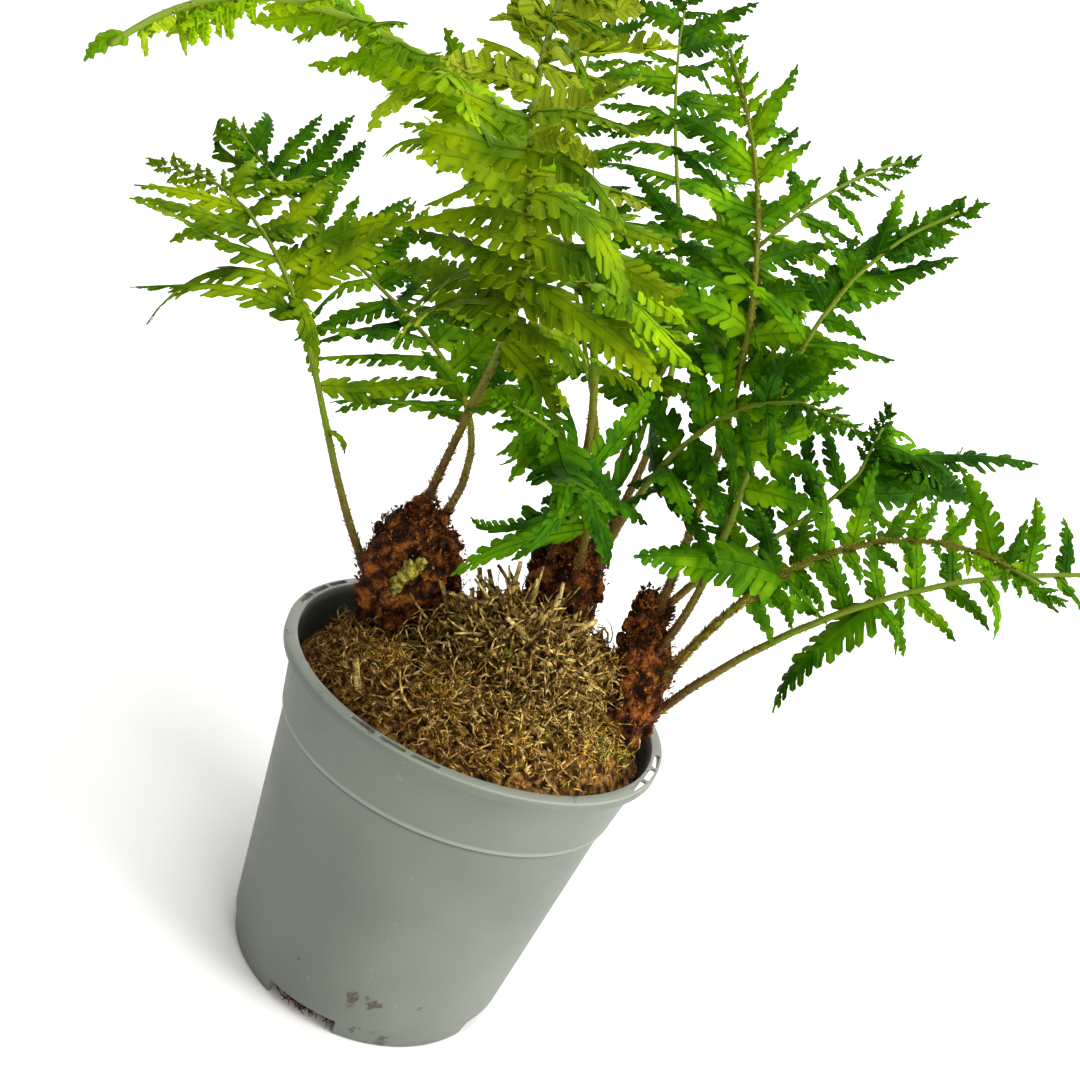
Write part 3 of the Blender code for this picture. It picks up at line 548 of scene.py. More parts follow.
def tubes(runs, resolution):
    """Closed tubes, one for each run of (point, radius), as one mesh in millimetres."""
    curve = bpy.data.curves.new("tubes", "CURVE")
    curve.dimensions = "3D"
    curve.bevel_depth = 1
    curve.bevel_resolution = resolution
    curve.use_fill_caps = True
    for run in runs:
        spline = curve.splines.new("POLY")
        spline.points.add(len(run) - 1)
        for knot, (point, radius) in zip(spline.points, run):
            knot.co = (*point, 1)
            knot.radius = radius
    drawn = new_object("tubes", curve)
    graph = bpy.context.evaluated_depsgraph_get()
    mesh = bpy.data.meshes.new_from_object(drawn.evaluated_get(graph))
    bpy.data.objects.remove(drawn, do_unlink=True)
    bpy.data.curves.remove(curve)
    mesh.uv_layers[0].name = "blade"
    bm = bmesh.new()
    bm.from_mesh(mesh)
    bmesh.ops.remove_doubles(bm, verts=bm.verts, dist=0.0001)
    bmesh.ops.recalc_face_normals(bm, faces=bm.faces)
    bm.to_mesh(mesh)
    bm.free()
    return mesh


class Stamp:
    """A small mesh that is copied many times, each copy bent or turned into its place."""

    def __init__(self, name, bm):
        self.mesh = mesh_of(name, bm)
        coords = np.empty(len(self.mesh.vertices) * 3)
        self.mesh.vertices.foreach_get("co", coords)
        self.coords = coords.reshape(-1, 3)

    def press(self, bm, coords):
        """Adds a copy with its points at these coordinates."""
        self.mesh.vertices.foreach_set("co", coords.astype(np.float32).ravel())
        bm.from_mesh(self.mesh, face_normals=False, vertex_normals=False)

    def press_turned(self, bm, matrix):
        turn = np.array(matrix.to_3x3())
        self.press(bm, self.coords @ turn.T + np.array(matrix.translation))


def placed_along(point, along, face, width, depth, length):
    """Matrix that lays a shape's Z along a direction, with its Y as near as may be to the face."""
    along = along.normalized()
    side = along.cross(face)
    if side.length < 0.01:
        side = along.orthogonal()
    side.normalize()
    face = side.cross(along)
    turn = Matrix((side * width, face * depth, along * length)).transposed().to_4x4()
    turn.translation = point
    return turn


def rough(point, size):
    """Smooth noise between about -1 and 1, with features of this size in millimetres."""
    return noise.fractal(Vector(point) / size, 0.9, 2.1, 4)


def sight_line(x, y):
    """Way from the camera to a pixel of the photo, one unit deep."""
    return FORWARD + (RIGHT * (x - PHOTO_MIDDLE) + UPWARD * (PHOTO_MIDDLE - y)) / FOCAL


def first_seen(x, y, inside):
    """First point on a pixel's line of sight that lies inside a form."""
    way = sight_line(x, y)
    return next(point for point in (EYE + way * depth for depth in SIGHT_DEPTHS) if inside(point))


def pot_side_at(x, y):
    """Point of the pot's outer side, below the collar, that a pixel of the photo shows."""
    slope = (COLLAR_RADIUS - COLLAR_STEP - FOOT_TOP_RADIUS) / (POT_HEIGHT - COLLAR_DEPTH - FOOT_HEIGHT)
    return first_seen(x, y, lambda at: at.xy.length < FOOT_TOP_RADIUS + slope * (at.z - FOOT_HEIGHT))


# Materials


def fill(tree, node, settings):
    """Gives a node its settings, by the name of an input or a property, and links those that are sockets."""
    for key, value in settings.items():
        if key == "stops":
            while len(node.color_ramp.elements) < len(value):
                node.color_ramp.elements.new(1)
            for element, (place, colour) in zip(node.color_ramp.elements, value):
                element.position = place
                element.color = linear(colour)
        elif isinstance(key, str) and key not in node.inputs:
            setattr(node, key, value)
        elif isinstance(value, bpy.types.NodeSocket):
            tree.links.new(value, node.inputs[key])
        else:
            node.inputs[key].default_value = linear(value) if isinstance(value, str) else value


def add(tree, kind, settings, output=0):
    """Adds a node with its settings and links, and gives one of its outputs."""
    node = tree.nodes.new("ShaderNode" + kind)
    fill(tree, node, settings)
    return node.outputs[output]


def start_material(name):
    """A material, its node tree, its shader and the place of a point on its object."""
    made = bpy.data.materials.new(name)
    made.use_nodes = True
    tree = made.node_tree
    return made, tree, tree.nodes["Principled BSDF"], add(tree, "TexCoord", {}, "Object")


def patches(tree, where, size, stops, detail=3.0):
    """Soft patches of this size in millimetres, in the colours of the stops."""
    field = add(tree, "TexNoise", {"Scale": 1 / (size * MM), "Detail": detail, "Vector": where})
    return add(tree, "ValToRGB", {"stops": stops, "Fac": field})


def lobe_marks(tree, vein_reach, vein_most, rim_shade_most):
    """How strongly the vein shows and how far painted shade darkens a lobe's rim, each up to its most, and
    the ripple of its ribs.
    """
    part = add(tree, "SeparateXYZ", {"Vector": add(tree, "UVMap", {"uv_map": "blade"})}).node.outputs
    off = add(tree, "Math", {"operation": "SUBTRACT", 0: part["Y"], 1: 0.5})
    away = add(tree, "Math", {"operation": "ABSOLUTE", 0: off})
    on_vein = add(tree, "MapRange", {"Value": away, "From Min": 0.02, "From Max": vein_reach,
                                     "To Min": vein_most, "To Max": 0.0})
    # Painted shade that darkens each lobe towards its rim
    rim_shade = add(tree, "MapRange", {"Value": away, "From Min": 0.2, "From Max": 0.5, "To Max": rim_shade_most})
    slanted = add(tree, "Math", {"operation": "MULTIPLY_ADD", 0: away, 1: -1.1, 2: part["X"]})
    ribs = add(tree, "Math", {"operation": "MULTIPLY", 0: slanted, 1: 38.0})
    return on_vein, rim_shade, add(tree, "Math", {"operation": "SINE", 0: ribs})


def leaf_upper(name, deep, middle, bright, vein):
    """Upper skin of a fern leaf: a waxy satin green, uneven from lobe to lobe, with a paler vein in each and
    painted shade darkening each lobe's rim.
    """
    made, tree, shader, where = start_material(name)
    green = patches(tree, where, 26, ((0.36, deep), (0.5, middle), (0.64, bright)))
    on_vein, rim_shade, ripple = lobe_marks(tree, 0.08, 0.22, 0.48)
    # Painted shade: the lobe darkens towards its rim
    rim_shaded = add(tree, "Mix", {"data_type": "RGBA", 0: rim_shade, 6: green, 7: deep}, 2)
    veined = add(tree, "Mix", {"data_type": "RGBA", 0: on_vein, 6: rim_shaded, 7: vein}, 2)
    height = add(tree, "Math", {"operation": "MULTIPLY_ADD", 0: ripple, 1: 0.2, 2: rim_shade})
    relief = add(tree, "Bump", {"Strength": 0.35, "Distance": 0.35 * MM, "Height": height})
    fill(tree, shader, {"Roughness": 0.55, "IOR": 1.45, "Specular IOR Level": 0.05, "Base Color": veined,
                        "Normal": relief})
    return made


def leaf_under(name, deep, middle, bright):
    """Underside of a fern leaf: paler and more matte than the top, with raised veins that are darker, and
    painted shade darkening each lobe's rim.
    """
    made, tree, shader, where = start_material(name)
    green = patches(tree, where, 16, ((0.3, deep), (0.5, middle), (0.72, bright)))
    on_vein, rim_shade, ripple = lobe_marks(tree, 0.09, 0.55, 0.75)
    # The vein darkens, and painted shade darkens the lobe's rim
    veins_and_rim_shade = add(tree, "Math", {"operation": "ADD", 0: on_vein, 1: rim_shade})
    vein_and_rim_shaded = add(tree, "Mix", {"data_type": "RGBA", 0: veins_and_rim_shade, 6: green, 7: deep}, 2)
    relief = add(tree, "Bump", {"Strength": 0.4, "Distance": 0.2 * MM, "Height": ripple})
    fill(tree, shader, {"Roughness": 0.68, "IOR": 1.42, "Specular IOR Level": 0.03, "Base Color": vein_and_rim_shaded,
                        "Normal": relief})
    return made


def stipe_skin(name, foot, middle, top):
    """Skin of a stipe: rust brown at its foot, straw to green higher up, with long shallow ridges."""
    made, tree, shader, where = start_material(name)
    along = add(tree, "SeparateXYZ", {"Vector": add(tree, "UVMap", {"uv_map": "blade"})})
    field = add(tree, "TexNoise", {"Scale": 1 / (4 * MM), "Detail": 3.0, "Vector": where})
    place = add(tree, "Math", {"operation": "MULTIPLY_ADD", 0: field, 1: 0.24, 2: along})
    colour = add(tree, "ValToRGB", {"stops": ((0.18, foot), (0.3, middle), (0.44, top)), "Fac": place})
    relief = add(tree, "Bump", {"Strength": 0.4, "Distance": 0.3 * MM, "Height": field})
    fill(tree, shader, {"Roughness": 0.55, "IOR": 1.45, "Specular IOR Level": 0.3, "Base Color": colour,
                        "Normal": relief})
    return made


def dry_matter(name, dark, middle, pale, size, roughness, crumb=0.8):
    """Dead plant matter, which is matte and changes colour from piece to piece, with crumbs of this size."""
    made, tree, shader, where = start_material(name)
    colour = patches(tree, where, size, ((0.38, dark), (0.5, middle), (0.62, pale)), 4.0)
    grain = add(tree, "TexNoise", {"Vector": where, "Scale": 1 / (crumb * MM), "Detail": 4.0,
                                   "Roughness": 0.65})
    deeper = add(tree, "MapRange", {"Value": grain, "From Min": 0.38, "From Max": 0.62})
    speckled = add(tree, "Mix", {"data_type": "RGBA", "blend_type": "OVERLAY", 0: 0.45, 6: colour,
                                 7: deeper}, 2)
    relief = add(tree, "Bump", {"Strength": 0.9, "Distance": crumb * MM, "Height": grain})
    fill(tree, shader, {"Roughness": roughness, "IOR": 1.4, "Specular IOR Level": 0.2,
                        "Base Color": speckled, "Normal": relief})
    return made


def moulded_polypropylene():
    """Moulded polypropylene: greasy satin sheen, faint flow marks, dirt, scuffs where it is handled, a paler
    rim edge, painted highlight and painted shade at the collar's step, and painted shade inside.
    """
    made, tree, shader, where = start_material("moulded_polypropylene")
    height = add(tree, "SeparateXYZ", {"Vector": where}, "Z")
    scuffs = add(tree, "TexNoise", {"Vector": where, "Scale": 1 / (5 * MM), "Detail": 8.0,
                                    "Roughness": 0.75})
    dirt = add(tree, "TexNoise", {"Vector": where, "Scale": 1 / (11 * MM), "Detail": 6.0, "Roughness": 0.7})
    shade = patches(tree, where, 60, ((0.35, "5C6258"), (0.65, "676D62")), 2.0)

    for clean, dirty, most in ((FOOT_DIRT_TOP, FOOT_DIRT_FULL, 0.12), (RIM_DIRT_LOW, RIM_DIRT_FULL, 0.1)):
        more = add(tree, "MapRange", {"Value": height, "From Min": clean * MM, "From Max": dirty * MM,
                                      "To Max": most})
        dirt = add(tree, "Math", {"operation": "ADD", 0: dirt, 1: more})
    for x, y, size in SMUDGES:
        spot = pot_side_at(x, y) * MM
        apart = add(tree, "VectorMath", {"operation": "DISTANCE", 0: where, 1: spot}, "Value")
        more = add(tree, "MapRange", {"Value": apart, "From Min": size * MM, "From Max": 0, "To Max": 0.3})
        dirt = add(tree, "Math", {"operation": "ADD", 0: dirt, 1: more})
    # Scuffs, a paler band on the rim's top edge, and dirt
    marks = [(scuffs, 0.6, 0.75, 0.3, SCUFFED), (height, RIM_PALE_LOW * MM, RIM_PALE_HIGH * MM, 0.3, PALE_RIM_AND_STEP_HIGHLIGHT),
             (dirt, 0.69, 0.75, 0.85, DIRT)]
    # Painted highlight just above the collar's step, and painted shade in the corner under it
    for level, reach, most, colour in ((STEP_EDGE, 1.4, 0.24, PALE_RIM_AND_STEP_HIGHLIGHT), (STEP_CORNER, 1.3, 0.6, PAINTED_STEP_SHADE)):
        above = add(tree, "Math", {"operation": "SUBTRACT", 0: height, 1: level * MM})
        apart = add(tree, "Math", {"operation": "ABSOLUTE", 0: above})
        marks.append((apart, reach * MM, 0.3 * MM, most, colour))
    for value, none, full, most, colour in marks:
        share = add(tree, "MapRange", {"Value": value, "From Min": none, "From Max": full, "To Max": most})
        shade = add(tree, "Mix", {"data_type": "RGBA", 0: share, 6: shade, 7: colour}, 2)
    # Painted shade on the inner wall, from above the collar's step up to just under the rim
    flare = (RIM_INNER_RADIUS - COLLAR_RADIUS + WALL) / COLLAR_DEPTH
    wall = RIM_INNER_RADIUS - flare * POT_HEIGHT + WALL / 2
    flat = add(tree, "VectorMath", {"operation": "MULTIPLY", 0: where, 1: (1, 1, 0)})
    radius = add(tree, "VectorMath", {"operation": "LENGTH", 0: flat}, "Value")
    unflared = add(tree, "Math", {"operation": "MULTIPLY_ADD", 0: height, 1: -flare, 2: radius})
    inside = add(tree, "MapRange", {"Value": unflared, "From Min": wall * MM, "From Max": (wall - 0.3) * MM})
    below_rim = add(tree, "MapRange", {"Value": height, "From Min": INNER_SHADE_TOP * MM,
                                       "From Max": INNER_SHADE_FULL * MM, "To Max": 0.85})
    over_step = add(tree, "Math", {"operation": "GREATER_THAN", 0: height, 1: INNER_SHADE_FOOT * MM})
    high_up = add(tree, "Math", {"operation": "MULTIPLY", 0: over_step, 1: below_rim})
    inner_shade = add(tree, "Math", {"operation": "MULTIPLY", 0: inside, 1: high_up})
    shade = add(tree, "Mix", {"data_type": "RGBA", 0: inner_shade, 6: shade, 7: PAINTED_INNER_SHADE}, 2)
    sheen = add(tree, "MapRange", {"Value": scuffs, "To Min": 0.38, "To Max": 0.62})
    relief = add(tree, "Bump", {"Strength": 0.12, "Distance": 0.3 * MM, "Height": scuffs})
    fill(tree, shader, {"IOR": 1.49, "Specular IOR Level": 0.4, "Base Color": shade, "Roughness": sheen,
                        "Normal": relief})
    return made


def studio_paper():
    """Matte studio background paper, plain and pale."""
    made, tree, shader, where = start_material("studio_paper")
    pale = patches(tree, where, 900, ((0.4, "FAFAF9"), (0.6, "FCFCFB")), 1.0)
    fill(tree, shader, {"Roughness": 0.9, "Specular IOR Level": 0.1, "Base Color": pale})
    return made


LEAF = {
    "olive": (leaf_upper("olive_green_leaf", "365600", "5C7A00", "829600", "8A9A20"),
              leaf_under("olive_green_leaf_under", "526608", "8A9A1A", "B2BE44")),
    # A darker copy of the leaf for the fronds at the back: painted shade for the shade they lie in
    "dark": (leaf_upper("dark_green_leaf", "163A00", "345E00", "5A8000", "5A8010"),
             leaf_under("dark_green_leaf_under", "3E660C", "587C12", "749426")),
    "mid": (leaf_upper("mid_green_leaf", "1E4600", "427200", "709C00", "749A16"),
            leaf_under("mid_green_leaf_under", "4A720C", "6C8E16", "8EA62C")),
    # A darker copy of the mid green leaf for lower fronds: painted shade
    "deep": (leaf_upper("old_green_leaf", "163A00", "2E5E00", "548400", "5A8410"),
             leaf_under("old_green_leaf_under", "3E660C", "5A7E12", "789A22")),
    # Lime copy for the near frond: a young frond's lime green, made paler to stand in for light shining
    # through it, painted light
    "lime": (leaf_upper("lime_green_leaf", "4E7600", "749800", "90B200", "A6C01C"),
             leaf_under("lime_green_leaf_under", "6A8408", "86A010", "A8BA28")),
}
# Lower fronds that take the darker copy of the leaf, which paints the shade they lie in
SHADED_FRONDS = ("frond_centre_low", "frond_centre_right", "frond_mid_right")
STIPE = stipe_skin("fern_stipe_skin", "4A2812", "62560E", "5E760A")
SCALES = dry_matter("papery_rust_scales", "241005", "5E2F10", "A8642A", 5, 0.85)
CHAFF = dry_matter("stem_chaff", "54340E", "8A661C", "AC9034", 5, 0.85)
CROWN_WOOD = dry_matter("rootstock_bark", "140903", "47230C", "94561F", 6, 0.9, 1.4)
STRAW = dry_matter("dry_straw_stubs", "7E6432", "B89A58", "E0C88A", 6, 0.85)
STUB = dry_matter("brown_dead_stipes", "2A1A0A", "6E5424", "B4964E", 4, 0.85)
FIBRE = dry_matter("brown_root_fibre", "32220A", "8E6E2E", "DCBE74", 3, 0.9)
LITTER = dry_matter("brown_litter_fibre", "3E240C", "90642C", "C49C54", 3, 0.9)
MOSS = dry_matter("dry_moss", "7A5A12", "B68A26", "E6BE4E", 4, 0.95)
GREEN_MOSS = dry_matter("living_moss", "4C5410", "7C8226", "A8A848", 3, 0.95)
PEAT = dry_matter("moist_peat_compost", "1E1008", "60401C", "946C34", 3, 0.95)
BUD = dry_matter("rolled_young_frond", "42380E", "7C7224", "ACA444", 3, 0.75)
POLYPROPYLENE = moulded_polypropylene()


# Pot


def pot_profile():
    """(radius, height) from the middle of the floor, up the inside, over the rim and down the outside."""
    step = POT_HEIGHT - COLLAR_DEPTH
    body = COLLAR_RADIUS - COLLAR_STEP
    raised = CHANNEL_HEIGHT + FLOOR
    lip = RIM_RADIUS - 1
    foot_inner = BASE_RADIUS - FOOT_RING
    return (
        (0, FLOOR), (PAD_RADIUS - WALL, FLOOR), (CHANNEL_INNER_RADIUS - 1, raised),
        (BASE_RADIUS - 0.2, raised), (body - WALL, step - WALL), (COLLAR_RADIUS - WALL, step),
        (RIM_INNER_RADIUS, POT_HEIGHT), (RIM_RADIUS, POT_HEIGHT), (RIM_RADIUS, POT_HEIGHT - LIP_DEPTH),
        (lip, POT_HEIGHT - LIP_DEPTH), (lip, POT_HEIGHT - FLANGE),
        (RIM_INNER_RADIUS + FLANGE, POT_HEIGHT - FLANGE), (COLLAR_RADIUS, step), (body, step - 1),
        (FOOT_TOP_RADIUS, FOOT_HEIGHT), (FOOT_TOP_RADIUS - FOOT_INSET, FOOT_HEIGHT - 0.4),
        (BASE_RADIUS, 0), (foot_inner, 0), (foot_inner, CHANNEL_HEIGHT),
        (CHANNEL_INNER_RADIUS, CHANNEL_HEIGHT), (PAD_RADIUS, 0), (0, 0),
    )


def pot_inner_radius(z):
    rows = pot_profile()[3:7]
    for (r0, z0), (r1, z1) in zip(rows, rows[1:]):
        if z <= z1:
            return r0 + (r1 - r0) * (z - z0) / (z1 - z0)
    return RIM_INNER_RADIUS


def spun(profile, steps):
    """A closed body of revolution from a profile that starts and ends on the axis."""
    bm = bmesh.new()
    line = [bm.verts.new((r, 0, z)) for r, z in profile]
    edges = [bm.edges.new(pair) for pair in zip(line, line[1:])]
    bmesh.ops.spin(bm, geom=line + edges, cent=(0, 0, 0), axis=UP, angle=2 * math.pi, steps=steps,
                   use_merge=True)
    bmesh.ops.remove_doubles(bm, verts=bm.verts, dist=0.01)
    bmesh.ops.recalc_face_normals(bm, faces=bm.faces)
    return bm


def rounded_box(turn, radius, size, z, corner, collection):
    """A cutter of (radial, tangential, vertical) size with its corners rounded along the radius."""
    bm = bmesh.new()
    bmesh.ops.create_cube(bm, size=1)
    bmesh.ops.scale(bm, vec=size, verts=bm.verts)
    way = 2 if size[0] < size[1] and size[2] > size[0] else 0
    along = [e for e in bm.edges if abs((e.verts[0].co - e.verts[1].co)[way]) > size[way] / 2]
    bmesh.ops.bevel(bm, geom=along, offset=corner, segments=4, affect="EDGES", profile=0.5, material=-1)
    place = Matrix.Rotation(math.radians(turn), 4, "Z") @ Matrix.Translation((radius, 0, z))
    bmesh.ops.transform(bm, matrix=place, verts=bm.verts)
    cutter = mesh_object("cutter", bm, [])
    bpy.context.scene.collection.objects.unlink(cutter)
    collection.objects.link(cutter)


def make_pot():
    bm = spun(pot_profile(), POT_STEPS)
    hoops = []
    for edge in bm.edges:
        low, high = (v.co for v in edge.verts)
        level = abs(low.z - high.z) < 0.01 and abs(low.xy.length - high.xy.length) < 0.01
        if level and edge.calc_face_angle(0) > math.radians(20):
            hoops.append(edge)
    bmesh.ops.bevel(bm, geom=hoops, offset=HOOP_ROUNDING, segments=2, affect="EDGES", profile=0.5,
                    material=-1, clamp_overlap=True)
    bmesh.ops.remove_doubles(bm, verts=bm.verts, dist=0.005)
    pot = mesh_object("nursery_pot", bm, [POLYPROPYLENE])
    cutters = bpy.data.collections.new("pot_cutters")
    slot = (SLOT_WIDTH, SLOT_LENGTH, 2 * SLOT_DEPTH)
    notch = (NOTCH_DEPTH, NOTCH_LENGTH, 2 * NOTCH_HEIGHT)
    for turn in QUARTER_TURNS:
        for place in (-1, 0, 1):
            rounded_box(turn + place * SLOT_PITCH, SLOT_RADIUS, slot, POT_HEIGHT, SLOT_CORNER, cutters)
        rounded_box(turn, NOTCH_RADIUS, notch, 0, NOTCH_CORNER, cutters)
    cut = pot.modifiers.new("cut", "BOOLEAN")
    cut.operation = "DIFFERENCE"
    cut.solver = "EXACT"
    cut.operand_type = "COLLECTION"
    cut.collection = cutters
    graph = bpy.context.evaluated_depsgraph_get()
    carved = bpy.data.meshes.new_from_object(pot.evaluated_get(graph))
    pot.modifiers.clear()
    pot.data = carved
    for cutter in list(cutters.objects):
        bpy.data.objects.remove(cutter, do_unlink=True)
    bpy.data.collections.remove(cutters)
    carved.set_sharp_from_angle(angle=math.radians(32))
    finished(pot, "pot", "pot")


# Compost, moss and fibres


def soil_top(x, y):
    edge_share = math.hypot(x, y) / COLLAR_RADIUS
    return SOIL_LEVEL + SOIL_SLOPE_X * x + SOIL_SLOPE_Y * y + SOIL_MOUND * max(0, 1 - edge_share ** 4)


def litter_top(x, y):
    """Height of the loose surface: the plain compost, its cushions of moss and its crumbs."""
    height = soil_top(x, y)
    edge = max(0.0, min(1.0, (LITTER_EDGE - math.hypot(x, y)) / LITTER_FADE))
    for cx, cy, radius, rise in CUSHIONS:
        share = math.hypot(x - cx, y - cy) / radius
        height += rise * math.exp(-2 * share * share) * edge
    return height + (2.4 * rough((x, y, 5), 11) + 1.2 * rough((x, y, 40), 3.5)) * (0.4 + 0.6 * edge)


def dome_top(x, y, grown=1.0):
    """Height of the dead stipes' dome, or of nothing outside it."""
    away = math.hypot((x - DOME_X) / (DOME_RADIUS_X * grown), (y - DOME_Y) / (DOME_RADIUS_Y * grown))
    return DOME_BASE - DOME_SUNK + DOME_HEIGHT * math.sqrt(1 - away * away) if away < 1 else 0.0


def ground_at(x, y):
    """Point of the litter or the dome that a pixel of the photo shows."""
    return first_seen(x, y, lambda at: at.xy.length < GROUND_REACH
                      and at.z < max(litter_top(at.x, at.y), dome_top(at.x, at.y)))


def from_ground(foot, tip):
    """Point of the ground that a pixel shows, and the way to what another one shows at the same depth."""
    start = ground_at(*foot)
    return start, EYE + sight_line(*tip) * (start - EYE).dot(FORWARD) - start


def on_ground(draw):
    """A random point on the litter, as x and y."""
    radius = LITTER_RADIUS * math.sqrt(draw.random())
    angle = draw.uniform(0, 2 * math.pi)
    return radius * math.cos(angle), radius * math.sin(angle)


def make_compost():
    floor = CHANNEL_HEIGHT + FLOOR + SOIL_GAP
    step = POT_HEIGHT - COLLAR_DEPTH
    reach = pot_inner_radius(SOIL_LEVEL) - SOIL_GAP
    top = [(reach * i / SOIL_RINGS, SOIL_LEVEL) for i in range(SOIL_RINGS + 1)]
    wall = [(pot_inner_radius(z) - SOIL_GAP, z) for z in (step + 1, step - 2, floor)]
    pad = floor - CHANNEL_HEIGHT
    base = [(CHANNEL_INNER_RADIUS - 1, floor), (PAD_RADIUS - 2, pad), (0, pad)]
    bm = spun(top + wall + base, SOIL_STEPS)
    for vert in bm.verts:
        if abs(vert.co.z - SOIL_LEVEL) < 0.01:
            x, y = vert.co.x, vert.co.y
            vert.co.z = litter_top(x, y)
            away = math.hypot(x, y)
            if away > reach - 3:
                vert.co.xy *= min(1, (pot_inner_radius(vert.co.z) - SOIL_GAP) / away)
    finished(mesh_object("compost", bm, [PEAT]), "compost", "soil")


def curl(draw, foot, way, length, radius, turn, points=5):
    """A curly fibre as a run of (point, radius): an arc that turns by this angle, thinner to its end."""
    side = any_side(draw, way)
    run = []
    for i in range(points):
        share = i / (points - 1)
        reach = way * math.sin(turn * share) + side * (1 - math.cos(turn * share))
        run.append((foot + reach * (length / turn), radius * (1 - (1 - STRAND_TIP) * share)))
    return run


def strand(draw, foot, way, kind):
    """A curly fibre of a kind."""
    return curl(draw, foot, way, draw.uniform(*kind.length), draw.uniform(*kind.radius),
                draw.uniform(*kind.turn), kind.points)


def any_way(draw, flat=1.0):
    """A random direction, flatter the smaller the second value is."""
    way = Vector((draw.gauss(0, 1), draw.gauss(0, 1), draw.gauss(0, 1) * flat))
    return way.normalized() if way.length > 0.01 else Vector((1, 0, 0))


def upward_way(draw):
    """A random direction that leans to the sky."""
    return (any_way(draw) + UP * 1.2).normalized()


def any_side(draw, way):
    """A random direction at right angles to another."""
    return Matrix.Rotation(draw.uniform(0, 2 * math.pi), 3, way) @ way.orthogonal().normalized()


def outward(angle):
    """The level direction at an angle, in radians, from the X axis."""
    return Vector((math.cos(angle), math.sin(angle), 0))


def stays_in(run):
    """True where a fibre keeps inside the pot's rim."""
    return max(point.xy.length for point, _ in run) < LITTER_REACH


def add_tubes(bm, runs, resolution, index):
    """Adds tubes of one material."""
    first = len(bm.faces)
    bm.from_mesh(tubes(runs, resolution))
    give_material(bm, first, index)


def fibre_object(name, groups, *declared):
    """One object from groups of runs, each with its material."""
    bm = bmesh.new()
    for index, (runs, _) in enumerate(groups):
        add_tubes(bm, runs, 0, index)
    finished(mesh_object(name, bm, [material for _, material in groups]), *declared)


def make_fibres():
    """Curly root fibres and straw over the compost, palest and thickest in front of the dead stipes."""
    draw = random.Random("fibres")
    pale = []
    brown = []
    while len(pale) + len(brown) < FIBRES:
        x, y = on_ground(draw)
        near = math.hypot((x - TANGLE_X) / TANGLE_REACH_X, (y - TANGLE_Y) / TANGLE_REACH_Y)
        in_tangle = draw.random() < math.exp(-near ** 2)
        if not in_tangle and draw.random() < THINNED:
            continue
        length = draw.uniform(5, 19 if in_tangle else 14)
        foot = Vector((x, y, litter_top(x, y) + draw.uniform(-0.6, 2.4 if in_tangle else 0.6)))
        run = curl(draw, foot, any_way(draw, 0.35), length, draw.uniform(*TANGLE_RADIUS),
                   draw.uniform(*TANGLE_TURN))
        if stays_in(run):
            (pale if in_tangle else brown).append(run)
    while len(pale) + len(brown) < FIBRES + RIM_FIBRES:
        angle = math.radians(draw.uniform(*RIM_FIBRE_TURNS))
        away = draw.uniform(RIM_FIBRES_FROM, LITTER_RADIUS)
        x = away * math.cos(angle)
        y = away * math.sin(angle)
        foot = Vector((x, y, litter_top(x, y) + draw.uniform(-0.3, 0.8)))
        run = strand(draw, foot, any_way(draw, 0.3), RIM_STRAND)
        if stays_in(run):
            (pale if draw.random() < 0.35 else brown).append(run)
    fibre_object("root_fibres", ((pale, FIBRE), (brown, LITTER)), "compost")


def make_moss():
    """Short curly shoots of moss, thickest on the cushions and along the front of the pot."""
    draw = random.Random("moss")
    runs = []
    while len(runs) < MOSS_SHOOTS:
        if draw.random() < 0.75:
            cx, cy, radius, _ = draw.choice(CUSHIONS)
            x = cx + draw.gauss(0, 0.45) * radius
            y = cy + draw.gauss(0, 0.45) * radius
        else:
            x, y = on_ground(draw)
        if math.hypot(x, y) > LITTER_RADIUS:
            continue
        foot = Vector((x, y, litter_top(x, y) - 0.6))
        runs.append(strand(draw, foot, upward_way(draw), MOSS_STRAND))
    green = []
    for x, y, size in TUFTS:
        middle = ground_at(x, y)
        for i in range(TUFT_SHOOTS):
            place = middle + any_way(draw, 0.6) * (size * draw.random())
            place.z = max(litter_top(place.x, place.y), dome_top(place.x, place.y, DOME_GROWN)) - 0.5
            green.append(strand(draw, place, upward_way(draw), TUFT_STRAND))
    green = [run for run in green if stays_in(run)]
    fibre_object("moss", ((runs, MOSS), (green, GREEN_MOSS)), "compost")


